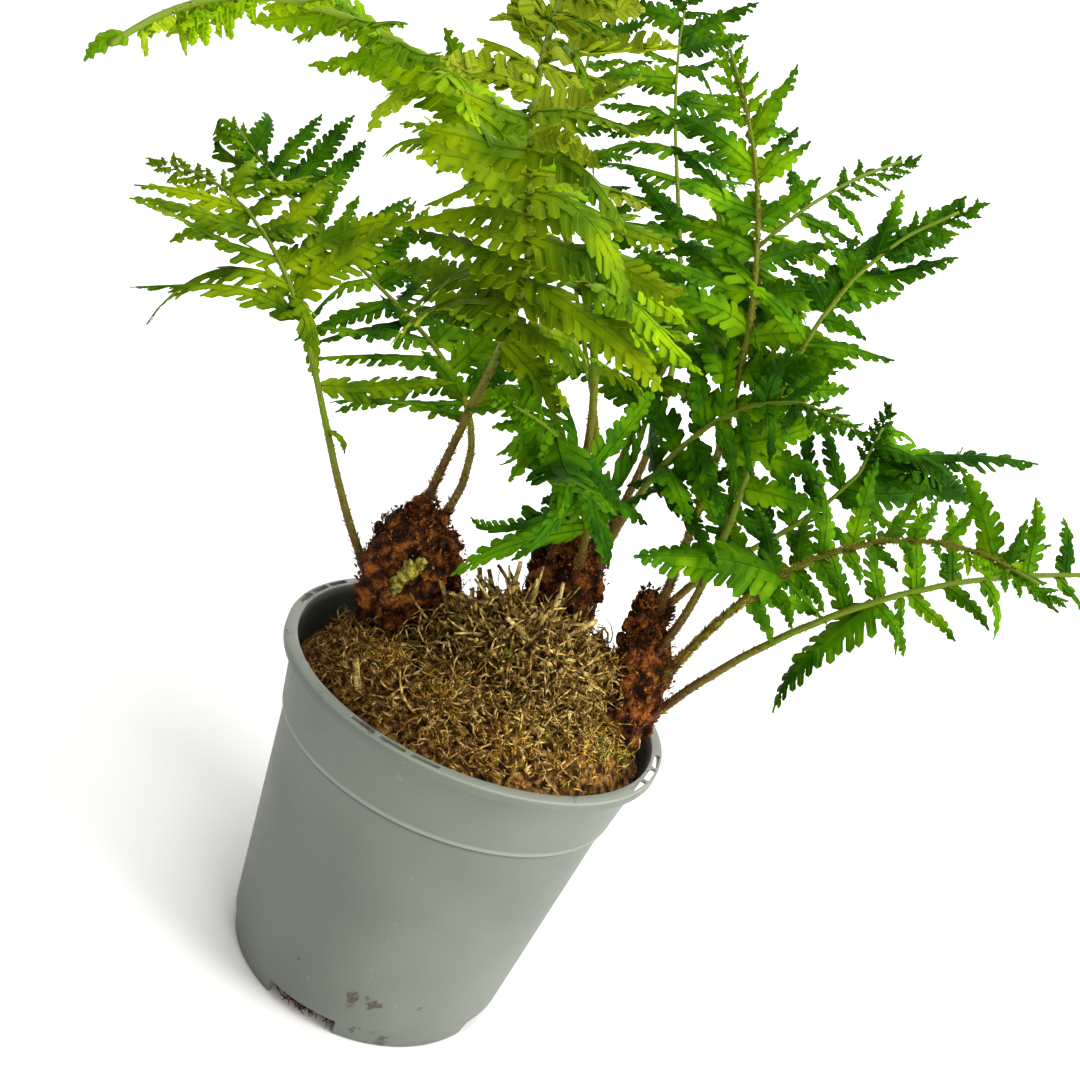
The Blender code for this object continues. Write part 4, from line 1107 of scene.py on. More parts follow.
def make_stubs():
    """Dead stipes: broken straws that lean every way in a dome of matted, curly fibre."""
    draw = random.Random("fine stubs")
    bm = bmesh.new()
    bmesh.ops.create_icosphere(bm, subdivisions=4, radius=1)
    for vert in bm.verts:
        x, y, z = vert.co
        z = max(z, -0.4)
        vert.co = (DOME_X + DOME_RADIUS_X * x, DOME_Y + DOME_RADIUS_Y * y, DOME_BASE + DOME_HEIGHT * z - 3)
        vert.co += Vector((x, y, z)) * (2.4 * rough(vert.co, 8))
    pale = []
    brown = []
    fibres = []
    for i in range(STUBS):
        spread = math.sqrt((i + 0.5) / STUBS) * 0.98
        angle = math.radians(GOLDEN_TURN * i)
        x = spread * math.cos(angle)
        y = spread * math.sin(angle)
        rise = math.sqrt(1 - spread ** 2)
        foot = Vector((DOME_X + DOME_RADIUS_X * x, DOME_Y + DOME_RADIUS_Y * y,
                       DOME_BASE + DOME_HEIGHT * rise - DOME_SUNK))
        way = (Vector((0.9 * x, 0.9 * y, 0.55)) + any_way(draw) * 0.75).normalized()
        length = STUB_LENGTH * draw.uniform(0.35, 1.0) * (1.5 if spread < 0.6 and y > -0.2 else 1.0)
        if near_crown(foot + way * length, 2):
            length *= 0.4
        thick = draw.uniform(0.55, 1.5)
        run = curl(draw, foot - way * 2, way, length + 2, thick, draw.uniform(0.1, 0.6), 4)
        run = [(point, thick * (1 - 0.1 * k)) for k, (point, _) in enumerate(run)]
        (pale if draw.random() < PALE_STUBS else brown).append(run)
    for i in range(DOME_FIBRES):
        angle = draw.uniform(0, 2 * math.pi)
        spread = math.sqrt(draw.random())
        x = DOME_X + 1.25 * DOME_RADIUS_X * spread * math.cos(angle)
        y = DOME_Y + 1.3 * DOME_RADIUS_Y * spread * math.sin(angle)
        top = max(litter_top(x, y), dome_top(x, y, DOME_GROWN))
        foot = Vector((x, y, top - draw.uniform(0, 4) * (2 if spread > 0.75 else 1)))
        out = Vector((x - DOME_X, y - DOME_Y, 6)).normalized()
        way = (out * 0.5 + any_way(draw)).normalized()
        run = strand(draw, foot, way, DOME_STRAND)
        if stays_in(run):
            fibres.append(run)
    add_tubes(bm, pale, 1, 1)
    add_tubes(bm, brown, 1, 2)
    add_tubes(bm, fibres, 0, 3)
    finished(mesh_object("dead_stipe_stubs", bm, [PEAT, STRAW, STUB, FIBRE]), "dead_stipes", "dead_stipes")


def make_chips():
    """Loose bits on the litter: straw chips, bits of bark, fine roots that stand up and old stipes."""
    draw = random.Random("chips")
    chip = bmesh.new()
    bmesh.ops.create_cube(chip, size=1)
    bmesh.ops.subdivide_edges(chip, edges=chip.edges[:], cuts=2, use_grid_fill=True)
    for vert in chip.verts:
        vert.co += Vector((rough(vert.co * 9, 4), rough(vert.co * 7 + UP * 9, 4), 0)) * 0.14
    stamp = Stamp("chip", chip)
    whole = bmesh.new()
    for x, y, length, width, turn, bark in CHIPS:
        angle = math.radians(turn)
        way = sight_line(x, y)
        along = RIGHT * math.cos(angle) + RIGHT.cross(way) * math.sin(angle)
        lift = UP * 1.2 - way.normalized() * 1.5 + along * (length / 2)
        first = len(whole.faces)
        stamp.press_turned(whole, placed_along(ground_at(x, y) + lift, along, -way, width, 0.7, length))
        give_material(whole, first, bark)
    threads = []
    for ends in ROOT_THREADS:
        start, reach = from_ground(*ends)
        threads.append(curl(draw, start, reach.normalized(), reach.length, 0.22, 0.5))
    add_tubes(whole, threads, 0, 1)
    for foot, tip, thick, look in OLD_STIPES:
        start, reach = from_ground(foot, tip)
        run = curl(draw, start - reach * 0.15, reach.normalized(), reach.length * 1.15, thick, 0.5, 7)
        add_tubes(whole, [[(point, thick * draw.uniform(0.75, 1.1)) for point, _ in run]], 2, look)
    finished(mesh_object("straw_chips", whole, [STRAW, CROWN_WOOD, STUB]), "compost")


def make_drain_roots():
    """Dark fuzzy roots that show in the front-left notch of the foot."""
    draw = random.Random("drain roots")
    out = outward(math.radians(QUARTER_TURNS[2]))
    across = out.cross(UP)
    runs = []
    while len(runs) < DRAIN_ROOTS:
        foot = out * draw.uniform(51, 57.5) + across * draw.gauss(0, 7) + UP * draw.uniform(1.5, 5)
        run = strand(draw, foot, any_way(draw, 0.5), DRAIN_STRAND)
        if all(0.6 < point.z < 6.4 and point.dot(out) < 61 and abs(point.dot(across)) < 15
               for point, _ in run):
            runs.append(run)
    fibre_object("drain_roots", ((runs, CROWN_WOOD),), "compost")


# Crowns


def near_crown(point, room):
    """True within some room of a crown's bulk."""
    return any((point - Vector((x, y, z))).length < radius * (1 + SCALE_RELIEF) + room
               for crown in CROWNS for x, y, z, radius in crown.spine)


def on_spine(crown, share):
    """(x, y, z, radius) at a share of the way up a crown, above its plug."""
    rows = crown.spine[1:]
    place = share * (len(rows) - 1)
    i = min(int(place), len(rows) - 2)
    return [a + (b - a) * (place - i) for a, b in zip(rows[i], rows[i + 1])]


def scale_stamp():
    """A papery scale: a lance shape on Z, flat across Y, its tip curled out."""
    bm = bmesh.new()
    bmesh.ops.create_uvsphere(bm, u_segments=4, v_segments=2, radius=1)
    for vert in bm.verts:
        x, y, z = vert.co
        vert.co = (x * 0.5, y * 0.5, 0.4 if abs(z) < 0.5 else (0 if z < 0 else 1))
        if z > 0.5:
            vert.co.y = 0.9
    bmesh.ops.recalc_face_normals(bm, faces=bm.faces)
    return Stamp("scale", bm)


def ball(bm, place, size, subdivisions):
    """Adds a ball of this size along X, Y and Z, and gives its points."""
    matrix = Matrix.Translation(place) @ Matrix.Diagonal((*size, 1))
    return bmesh.ops.create_icosphere(bm, subdivisions=subdivisions, radius=1, matrix=matrix)["verts"]


def make_crown(crown, scale):
    """A lumpy rootstock under old stipe bases, all of it covered in crumbled rust-brown scales."""
    draw = random.Random(crown.name + " fine")
    bm = bmesh.new()
    rings = []
    for i in range(CROWN_LEVELS + 1):
        x, y, z, radius = on_spine(crown, i / CROWN_LEVELS)
        if i == 0:
            z -= CROWN_FOOT
        rings.append(bmesh.ops.create_circle(bm, segments=CROWN_SIDES, radius=radius * 0.94,
                                             matrix=Matrix.Translation((x, y, z)))["verts"])

    def edges_of(verts):
        return [edge for edge in bm.edges if edge.verts[0] in verts and edge.verts[1] in verts]

    for low, high in zip(rings, rings[1:]):
        bmesh.ops.bridge_loops(bm, edges=edges_of(low) + edges_of(high))
    for ring in (rings[0], rings[-1]):
        bmesh.ops.contextual_create(bm, geom=edges_of(ring))
    bmesh.ops.recalc_face_normals(bm, faces=bm.faces)
    middle = Vector(on_spine(crown, 0.4)[:3])
    for vert in bm.verts:
        out = Vector((vert.co.x - middle.x, vert.co.y - middle.y, 0))
        if vert.co.z > SMOOTH_BELOW:
            lump = 4.4 * rough(vert.co, 13) + 2.2 * rough(vert.co, 5) + 1.0 * rough(vert.co, 2)
            vert.co += out.normalized() * (lump * min(1, out.length / 8))
    knobs = []
    feet = []
    for i in range(CROWN_KNOBS):
        share = 0.06 + 0.8 * ((i * 0.382) % 1)
        x, y, z, radius = on_spine(crown, share)
        out = outward(math.radians(GOLDEN_TURN * i + draw.uniform(-20, 20)))
        way = (out * draw.uniform(0.35, 0.8) + UP).normalized()
        foot = Vector((x, y, z)) + out * radius * 0.7
        length = draw.uniform(4, 9) * (0.5 + radius / 30)
        thick = draw.uniform(2.6, 4.6) * (0.4 + radius / 34)
        knobs.append([(foot - way * 2, thick), (foot + way * length * 0.4, thick * 1.05),
                      (foot + way * length * 0.8, thick * 0.85), (foot + way * length, thick * 0.45)])
        feet.append((foot, way, length, thick))
    bm.from_mesh(tubes(knobs, 1))
    for i in range(CROWN_LUMPS):
        x, y, z, radius = on_spine(crown, draw.uniform(0.0, 0.86))
        out = outward(draw.uniform(0, 2 * math.pi))
        place = Vector((x, y, z)) + out * radius * draw.uniform(0.82, 0.98)
        size = draw.uniform(1.6, 4.2) * (0.4 + radius / 34)
        for vert in ball(bm, place, (size, size, size * draw.uniform(0.8, 1.5)), 2):
            vert.co += (vert.co - place).normalized() * (0.35 * size * rough(vert.co, 2.2))
    bark = len(bm.faces)
    for i in range(CROWN_SCALES):
        if i % 2:
            foot, way, length, thick = draw.choice(feet)
            out = any_side(draw, way)
            point = foot + way * (length * draw.uniform(0.0, 1.0)) + out * (thick * 0.92)
            along = way + out * draw.uniform(-0.3, 0.2) + any_way(draw) * 0.7
        else:
            x, y, z, radius = on_spine(crown, draw.uniform(0.02, 0.99))
            out = outward(draw.uniform(0, 2 * math.pi)) + UP * 0.2
            point = Vector((x, y, z)) + out * radius * draw.uniform(0.9, 1.05)
            along = UP * 0.8 + out * draw.uniform(-0.1, 0.3) + any_way(draw) * 0.7
        size = draw.uniform(1.2, 3.2)
        scale.press_turned(bm, placed_along(point, along, out, size * draw.uniform(0.35, 0.7), 0.5, size))
    give_material(bm, bark, 1)
    finished(mesh_object(crown.name + "_shaggy", bm, [CROWN_WOOD, SCALES]), "crown_scales", crown.name)


def make_bud():
    """A young frond, still rolled up, on the front of the left crown: creased knobs of uneven size."""
    whole = bmesh.new()
    for x, y, z, size in BUD_KNOBS:
        middle = Vector((x, y, z))
        for vert in ball(whole, middle, (size, size * 0.85, size * 1.15), 3):
            out = vert.co - middle
            crease = 0.1 * math.sin(9 * math.atan2(out.z, out.x) + 0.7 * out.length)
            vert.co += out * (0.34 * rough(vert.co, 3.4) + crease)
    finished(mesh_object("rolled_bud", whole, [BUD]), "crown_scales")


# Placing rule of the leaflets, as in the frame


def through(values, share):
    """Value at a share of the length, on the parabola through its three values."""
    foot, middle, tip = values
    s = share
    return foot * (2 * s - 1) * (s - 1) + middle * 4 * s * (1 - s) + tip * s * (2 * s - 1)


def heading(frond, share):
    turn = math.radians(through(frond.turn, share))
    lean = math.radians(through(frond.lean, share))
    return Vector((math.sin(lean) * math.cos(turn), math.sin(lean) * math.sin(turn), math.cos(lean)))


def stem_line(frond):
    """Points of the rachis, in even steps from where it leaves the crown to its tip."""
    steps = round(frond.length / STEM_STEP) + 1
    line = [Vector(frond.start)]
    for i in range(steps):
        line.append(line[-1] + heading(frond, (i + 0.5) / steps) * (frond.length / steps))
    return line


def on_line(line, share):
    """Point at a share of the way along a line of even steps."""
    place = share * (len(line) - 1)
    i = min(int(place), len(line) - 2)
    return line[i].lerp(line[i + 1], place - i)


def stem_radius(share):
    return STIPE_RADIUS + (RACHIS_TIP_RADIUS - STIPE_RADIUS) * share


def toothed(teeth, notch_share):
    """Outline of a blade, as shares of its length and half width: a tooth, then a notch, until its apex."""
    outline = [(0, 0)]
    for k in range(teeth):
        tooth = (k + TOOTH_REACH) / teeth
        notch = (k + 1) / teeth
        outline.append((tooth, min(1, 0.8 + tooth) * (1 - tooth) ** 0.6))
        outline.append((notch, notch_share * (1 - notch) ** 0.6))
    return tuple(outline)


Leaflet = namedtuple("Leaflet", "root along face length width droop outline")


def blade(leaflet, margin=0.0):
    """Points and triangles of the plain blade, for finding where the leaflets would cross."""
    root, along, face, length, width, droop, outline = leaflet
    side = face.cross(along).normalized()
    last = len(outline) - 1
    points = []

    def put(share, offset, raised):
        tangent = (along - UP * 2 * droop * share).normalized()
        middle = root + along * ((length + margin) * share) - UP * (droop * length * share ** 2)
        points.append(middle + side * offset + tangent.cross(side) * (raised - LEAFLET_ARCH * abs(offset)))
        return len(points) - 1

    apex = put(1, 0, 0)
    rib = {last: (apex, apex)}
    for i in range(0, last, 2):
        half = LEAFLET_THICKNESS / 2 * (1 - 0.5 * outline[i][0]) + margin
        rib[i] = (put(outline[i][0], 0, half), put(outline[i][0], 0, -half))
    triangles = []
    for way in (1, -1):
        edge = {i: put(outline[i][0], way * (width / 2 * outline[i][1] + margin), 0) for i in range(1, last)}
        for i in range(0, last, 2):
            between = [edge[j] for j in range(max(i, 1), min(i + 2, last - 1) + 1)]
            for layer in (0, 1):
                hub, fan = rib[i + 2][layer], [rib[i][layer]] + between
                if hub == apex:
                    hub, fan = rib[i][layer], between + [apex]
                triangles += [(hub, a, b) for a, b in zip(fan, fan[1:])]
        triangles.append((*rib[0], edge[1]))
    return points, triangles


def blade_tree(leaflet, margin=0.0):
    """Search tree of a plain blade."""
    return BVHTree.FromPolygons(*blade(leaflet, margin))


def stem_tree(frond):
    """Search tree of a rachis, as a three-sided tube with some room round it."""
    line = stem_line(frond)
    steps = len(line) - 1
    verts = []
    for i, point in enumerate(line):
        share = i / steps
        side = heading(frond, share).orthogonal().normalized()
        for turn in (0, 120, 240):
            spoke = Matrix.Rotation(math.radians(turn), 3, heading(frond, share)) @ side
            verts.append(point + spoke * (2 * stem_radius(share) + MARGIN))
    faces = [(3 * i + a, 3 * i + (a + 1) % 3, 3 * i + 3 + (a + 1) % 3, 3 * i + 3 + a)
             for i in range(steps) for a in range(3)]
    return BVHTree.FromPolygons(verts, faces)


def clear_of_base(points):
    """True where a blade keeps away from the pot, the crowns and the dead stipes."""
    for point in points:
        if point.z < POT_HEIGHT + ROOM_ABOVE_POT and math.hypot(point.x, point.y) < RIM_RADIUS + POT_ROOM:
            return False
        dome = Vector(((point.x - DOME_X) / (DOME_RADIUS_X + DOME_ROOM),
                       (point.y - DOME_Y) / (DOME_RADIUS_Y + DOME_ROOM),
                       (point.z - DOME_BASE) / (DOME_HEIGHT + STUB_LENGTH)))
        if dome.length < 1 or near_crown(point, CROWN_ROOM):
            return False
    return True


def square_to(way, along):
    """The unit direction nearest to one way that is at right angles to another."""
    return (way - along * way.dot(along)).normalized()


def turned(from_way, to_way, angle):
    """A unit direction, turned by an angle towards another at right angles to it."""
    return (from_way * math.cos(math.radians(angle)) + to_way * math.sin(math.radians(angle))).normalized()


def leaflet_width(length):
    return length * LEAFLET_WIDTH + 2


def leaflet_at(frond, line, share, side, draw):
    """A leaflet before it is bent clear: its root on the rachis and its way out from it."""
    up_blade = (share - frond.blade) / (1 - frond.blade)
    way = heading(frond, share)
    turn, height = (math.radians(a) for a in frond.face)
    shown = Vector((math.cos(height) * math.cos(turn), math.cos(height) * math.sin(turn), math.sin(height)))
    out = way.cross(shown).normalized() * side
    face = out.cross(way).normalized() * side
    sweep = SWEEP_AT_BASE + (SWEEP_AT_TIP - SWEEP_AT_BASE) * up_blade + draw.uniform(-1, 1) * SWEEP_SPREAD
    lift = draw.uniform(-1, 1) * LIFT_SPREAD
    along = turned(turned(out, way, sweep), face, lift)
    face = turned(face, way, frond.twist + draw.uniform(-1, 1) * TWIST_SPREAD)
    face = square_to(face, along)
    size = min(1.0, 0.8 + 1.5 * up_blade) * (1 - up_blade) ** 0.7 * (1 + draw.uniform(-1, 1) * SIZE_SPREAD)
    length = max(SHORTEST_LEAFLET, frond.leaflet * size)
    teeth = LONG_LEAFLET_TEETH if length > LONG_LEAFLET_FROM else SHORT_LEAFLET_TEETH
    root = on_line(line, share) - along * (0.4 * stem_radius(share))
    return Leaflet(root, along, face, length, leaflet_width(length), LEAFLET_DROOP * draw.uniform(0.6, 1.5),
                   toothed(teeth, NOTCH_SHARE))


def bent_clear(leaflet, others, own):
    """The leaflet lifted or trimmed until it crosses nothing, or None."""
    hinge = leaflet.face.cross(leaflet.along).normalized()
    for trim in TRIMS:
        length = leaflet.length * trim
        if length < SHORTEST_LEAFLET * 0.8:
            continue
        for lift in LIFTS:
            bend = Matrix.Rotation(-math.radians(lift), 3, hinge)
            bent = leaflet._replace(along=bend @ leaflet.along, face=bend @ leaflet.face, length=length,
                                    width=leaflet_width(length))
            points, triangles = blade(bent, MARGIN)
            if not clear_of_base(points):
                continue
            tree = BVHTree.FromPolygons(points, triangles)
            if not any(tree.overlap(other) for other in others + own[:-1]):
                return bent
    return None


def end_blade(frond, line, face):
    """The blade that ends a frond."""
    tip = heading(frond, (1 + END_BLADE) / 2)
    length = frond.length * (1 - END_BLADE) + END_BLADE_REACH
    return Leaflet(on_line(line, END_BLADE), tip, square_to(face, tip), length, length * END_BLADE_WIDTH,
                   END_BLADE_DROOP, toothed(END_TEETH, END_NOTCH))


def curled_leaflet(frond, line):
    share, along, length, width, droop = CURLED
    along = Vector(along).normalized()
    return Leaflet(on_line(line, share) - along * RACHIS_TIP_RADIUS, along, square_to(UP, along), length,
                   width, droop, toothed(SHORT_LEAFLET_TEETH, NOTCH_SHARE))


def all_leaflets():
    """The leaflets of every frond and, last, the blade that ends it, as the frame has them."""
    stems = {frond.name: stem_tree(frond) for frond in FRONDS}
    placed = []
    leaflets = {}
    for frond in FRONDS:
        draw = random.Random(frond.name)
        line = stem_line(frond)
        others = [tree for name, tree in stems.items() if name != frond.name] + placed
        own = []
        kept = []
        if frond.name == "frond_left":
            kept.append(curled_leaflet(frond, line))
            own.append(blade_tree(kept[0], MARGIN))
        for i in range(2 * frond.pairs):
            share = frond.blade + (END_BLADE - frond.blade) * (i + 0.5 * (i % 2)) / (2 * frond.pairs)
            leaflet = leaflet_at(frond, line, share, 1 if i % 2 else -1, draw)
            end = end_blade(frond, line, leaflet.face)
            leaflet = bent_clear(leaflet, others, [blade_tree(end)] + own)
            if leaflet:
                kept.append(leaflet)
                own.append(blade_tree(leaflet))
        kept.append(end)
        own.append(blade_tree(end))
        leaflets[frond.name] = kept
        placed += own
    return leaflets


# Fine leaflets


def envelope(share):
    """Half width of a leaflet at a share of its length, as a share of its greatest."""
    return min(1, 0.8 + share) * max(0.0, 1 - share) ** 0.6


def skin_sides(bm):
    """Gives the faces that look down the second material, and keeps the rim crisp."""
    bm.normal_update()
    for face in bm.faces:
        face.material_index = 1 if face.normal.z < -0.3 else 0
    for edge in bm.edges:
        if edge.calc_face_angle(0) > math.radians(50):
            edge.smooth = False


def mark_lobe(bm, place):
    """Writes where each point lies on its lobe, for the leaf's materials."""
    layer = bm.loops.layers.uv.new("blade")
    for face in bm.faces:
        for loop in face.loops:
            loop[layer].uv = place(loop.vert.co)


def lobe_stamp(draw):
    """One lobe: a flat, small toothed blade on X, a unit long and a unit to each side."""
    bm = bmesh.new()
    stations = len(LOBE_PROFILE) - 1
    bmesh.ops.create_grid(bm, x_segments=stations, y_segments=2, size=0.5)
    for vert in bm.verts:
        share = vert.co.x + 0.5
        across = 2 * vert.co.y
        station = round(share * stations)
        half = LOBE_PROFILE[station] * draw.uniform(0.9, 1.06)
        vert.co = (share + LOBE_TEETH[station] * abs(across), across * half, 0)
    mark_lobe(bm, lambda at: (max(0.0, min(1.0, at.x)), 0.5 + 0.5 * max(-1.0, min(1.0, at.y))))
    return Stamp("lobe", bm)


def add_wing(bm, lobes, length, half):
    """The green strip along a leaflet's rib, which joins its lobes."""
    wing = bmesh.new()
    bmesh.ops.create_grid(wing, x_segments=lobes, y_segments=2, size=0.5)
    for vert in wing.verts:
        share = vert.co.x + 0.5
        across = 2 * vert.co.y
        wide = 0.6 + half * (WING_SHARE + WING_GROWTH * share) * envelope(share)
        vert.co = (share * length * 0.99, across * wide * min(1, 4 * (1.02 - share)), -0.2 * abs(across))
    mark_lobe(wing, lambda at: (0.1, 0.5 + (math.copysign(0.3, at.y) if abs(at.y) > 0.01 else 0)))
    bm.from_mesh(mesh_of("wing", wing))


def add_rib(bm, lobes, length):
    """The rib of a leaflet, on its upper and its under side."""
    rib = bmesh.new()
    bmesh.ops.create_cone(rib, cap_ends=True, segments=4, radius1=RIB_RADIUS, radius2=RIB_TIP_RADIUS,
                          depth=length * 0.97)
    bmesh.ops.rotate(rib, cent=(0, 0, 0), matrix=Matrix.Rotation(math.radians(90), 3, "Y"), verts=rib.verts)
    bmesh.ops.translate(rib, vec=(length / 2, 0, 0), verts=rib.verts)
    long_edges = [edge for edge in rib.edges if edge.calc_length() > length / 2]
    bmesh.ops.subdivide_edges(rib, edges=long_edges, cuts=lobes)
    mark_lobe(rib, lambda at: RIB_ON_LOBE)
    bm.from_mesh(mesh_of("rib", rib))


def fine_leaflet_stamp(lobes, seed):
    """A leaflet on X with its rib at y = 0, LOBE_PITCH long for each lobe, flat but for its lobes' tilt."""
    draw = random.Random(f"leaflet {lobes} {seed}")
    length = lobes * LOBE_PITCH
    half = leaflet_width(length) / 2
    bm = bmesh.new()
    for way in (1, -1):
        for k in range(lobes):
            lobe = lobe_stamp(draw)
            share = (k + (0.55 if way > 0 else 0.8)) / (lobes + 0.6)
            reach = half * envelope(share) * draw.uniform(0.84, 1.06)
            if k == 0 and way > 0:
                reach *= 1.1
            sweep = math.radians(draw.uniform(10, 26) + 24 * share)
            wide = LOBE_PITCH * LOBE_FILL * (1 - 0.35 * share)
            roll = math.radians(draw.uniform(-22, 22))
            rise = math.radians(draw.uniform(-18, 12))
            x = lobe.coords[:, 0]
            y = lobe.coords[:, 1] * wide
            out = x * reach / math.cos(sweep)
            z = -LOBE_FOLD * np.abs(lobe.coords[:, 1]) - LOBE_DROOP * reach * x * x + out * math.sin(rise)
            z = z + y * math.sin(roll)
            ahead = out * math.sin(sweep) + y * math.cos(sweep) + LOBE_HOOK * reach * x * x
            beside = out * math.cos(sweep) - y * math.sin(sweep)
            lobe.press(bm, np.stack([share * length + ahead, way * beside, z], axis=1))
    last = lobe_stamp(draw)
    tip = np.stack([length * (0.93 + 0.09 * last.coords[:, 0]), last.coords[:, 1] * 0.9,
                    -0.2 * np.abs(last.coords[:, 1])], axis=1)
    last.press(bm, tip)
    add_wing(bm, lobes, length, half)
    bm.normal_update()
    upside_down = [f for f in bm.faces if f.normal.z < 0]
    bmesh.ops.reverse_faces(bm, faces=upside_down)
    bmesh.ops.solidify(bm, geom=bm.faces[:], thickness=LOBE_THICKNESS)
    skin_sides(bm)
    add_rib(bm, lobes, length)
    return Stamp("fine_leaflet", bm)


FINE = {}


def fine_leaflet(bm, leaflet, draw, nearest=False):
    """Adds a fine leaflet in the place of a plain blade, with its arch, droop and a little twist."""
    count = NEAREST_FEWEST + leaflet.length / NEAREST_PITCH if nearest else leaflet.length / LOBE_PITCH
    lobes = max(FEWEST_LOBES, min(MOST_LOBES, round(count)))
    key = (lobes, draw.randrange(VARIANTS))
    if key not in FINE:
        FINE[key] = fine_leaflet_stamp(*key)
    stamp = FINE[key]
    shape = stamp.coords
    share = shape[:, 0] / (lobes * LOBE_PITCH)
    offset = shape[:, 1] * (leaflet.width / leaflet_width(lobes * LOBE_PITCH))
    twist = math.radians(draw.gauss(0, FINE_TWIST)) * share
    wave = draw.uniform(-FINE_WAVE, FINE_WAVE) * leaflet.length
    sickle = draw.uniform(*FINE_SICKLE) * leaflet.length
    curled = draw.uniform(*CURLED_BEND) if draw.random() < CURLED_SHARE else draw.gauss(0, FINE_BEND)
    bend = math.radians(curled) or 0.01
    raised = shape[:, 2] - LEAFLET_ARCH * np.abs(offset) + wave * np.sin(share * math.pi * 1.6)
    raised = raised - leaflet.length * (1 - np.cos(bend * share)) / bend
    sideways = offset * np.cos(twist) - raised * np.sin(twist)
    upright = offset * np.sin(twist) + raised * np.cos(twist)
    along = np.array(leaflet.along)
    side = np.array(leaflet.face.cross(leaflet.along).normalized())
    slope = along[None, :] - np.array(UP)[None, :] * (2 * leaflet.droop * share[:, None])
    slope /= np.linalg.norm(slope, axis=1)[:, None]
    normal = np.cross(slope, side[None, :])
    handed = 1 if draw.random() < 0.5 else -1
    reach = leaflet.length * np.sin(bend * share) / bend
    coords = (np.array(leaflet.root)[None, :] + along[None, :] * reach[:, None]
              - np.array(UP)[None, :] * (leaflet.droop * leaflet.length * share ** 2)[:, None]
              + side[None, :] * (sideways + handed * sickle * share ** 2)[:, None]
              + normal * upright[:, None])
    stamp.press(bm, coords)


def raised(leaflet, angle):
    """A leaflet turned up about its root."""
    turn = leaflet.along.rotation_difference(turned(leaflet.along, square_to(UP, leaflet.along), angle))
    return leaflet._replace(along=turn @ leaflet.along, face=turn @ leaflet.face)


def flexed(frond, leaflet):
    """A leaflet as it hangs in the photo: lifted a little from the plain blade's place, or shortened."""
    hanging = leaflet.along.z < HANGING_BELOW
    if frond.name == "frond_near":
        far = min(1.0, max(0.0, (NEAR_TIP_FROM - leaflet.root.y) / NEAR_TIP_REACH))
        size = 1 - NEAR_TIP_SHRINK * far
        leaflet = leaflet._replace(length=leaflet.length * size, width=leaflet.width * size)
        return raised(leaflet, NEAR_TIP_FLEX * far) if hanging and far > 0.1 else leaflet
    leaflet = leaflet._replace(width=leaflet.width * SLIM.get(frond.name, 1.0))
    way, size = SHORT_SIDE.get(frond.name, (0, 1.0))
    if leaflet.along.x * way > SIDEWAYS:
        leaflet = leaflet._replace(length=leaflet.length * size)
    if frond.name not in HANGING_FLEX or not hanging:
        return leaflet
    size = SHORT_HANGING.get(frond.name, 1.0)
    leaflet = leaflet._replace(length=leaflet.length * size, width=leaflet.width * NARROW_HANGING)
    return raised(leaflet, HANGING_FLEX[frond.name])


def added_leaflets(leaflets):
    """Leaflets between the frame's, laid from their rachis to where the photo shows their tips."""
    stems = {frond.name: stem_tree(frond) for frond in FRONDS}
    placed = [blade_tree(leaflet) for kept in leaflets.values() for leaflet in kept]
    more = {}
    for frond in FRONDS:
        draw = random.Random(frond.name + " added")
        line = stem_line(frond)
        rest = [tree for name, tree in stems.items() if name != frond.name]
        more[frond.name] = []
        for share, x, y, deeper, wide in ADDED.get(frond.name, ()):
            root = on_line(line, share)
            droop = LEAFLET_DROOP * draw.uniform(0.5, 1.2)
            roll = math.radians(draw.gauss(0, 20))
            for trim, push in ADDED_TRIES:
                tip = EYE + sight_line(x, y) * ((root - EYE).dot(FORWARD) + deeper + push)
                along = (tip - root) * trim + UP * (droop * (tip - root).length * trim)
                length = along.length
                along.normalize()
                face = (EYE - root).normalized() * 0.7 + UP * 0.6
                face = Matrix.Rotation(roll, 3, along) @ square_to(face, along)
                if wide < 0:
                    face = -face
                found = Leaflet(root, along, face, length, leaflet_width(length) * abs(wide), droop,
                                toothed(SHORT_LEAFLET_TEETH, NOTCH_SHARE))
                outer = found._replace(root=root + along * (ADDED_FREE * length),
                                       length=(1 - ADDED_FREE) * length)
                tree = blade_tree(outer, ADDED_ROOM)
                if not any(tree.overlap(other) for other in rest + placed):
                    break
            else:
                continue
            placed.append(tree)
            more[frond.name].append(found)
    return more


def fine_tip(bm, frond, end, draw):
    """The end of a frond: small leaflets that shorten to its very tip."""
    side = end.face.cross(end.along).normalized()
    end = end._replace(length=end.length * TIP_LENGTH.get(frond.name, 1.0))
    for i in range(2 * TIP_PAIRS):
        share = (i + 0.2) / (2 * TIP_PAIRS)
        way = 1 if i % 2 else -1
        sweep = TIP_SWEEP + TIP_SWEEP_GROWTH * share
        along = turned(side * way, end.along, sweep)
        half = end.width / 2 * TIP_WIDTH.get(frond.name, 1.0)
        length = max(TIP_SHORTEST, half * envelope(share * 0.94) / math.cos(math.radians(sweep)))
        root = end.root + end.along * (end.length * share * 0.9) - UP * (end.droop * end.length * share ** 2)
        small = Leaflet(root, along, square_to(end.face, along), length, length * 0.36 + 1.5, 0.1, ())
        fine_leaflet(bm, small, draw)
    root = end.root + end.along * (end.length * 0.8) - UP * (end.droop * end.length * 0.64)
    last = Leaflet(root, end.along, end.face, end.length * 0.2, end.length * 0.1, 0.05, ())
    fine_leaflet(bm, last, draw)


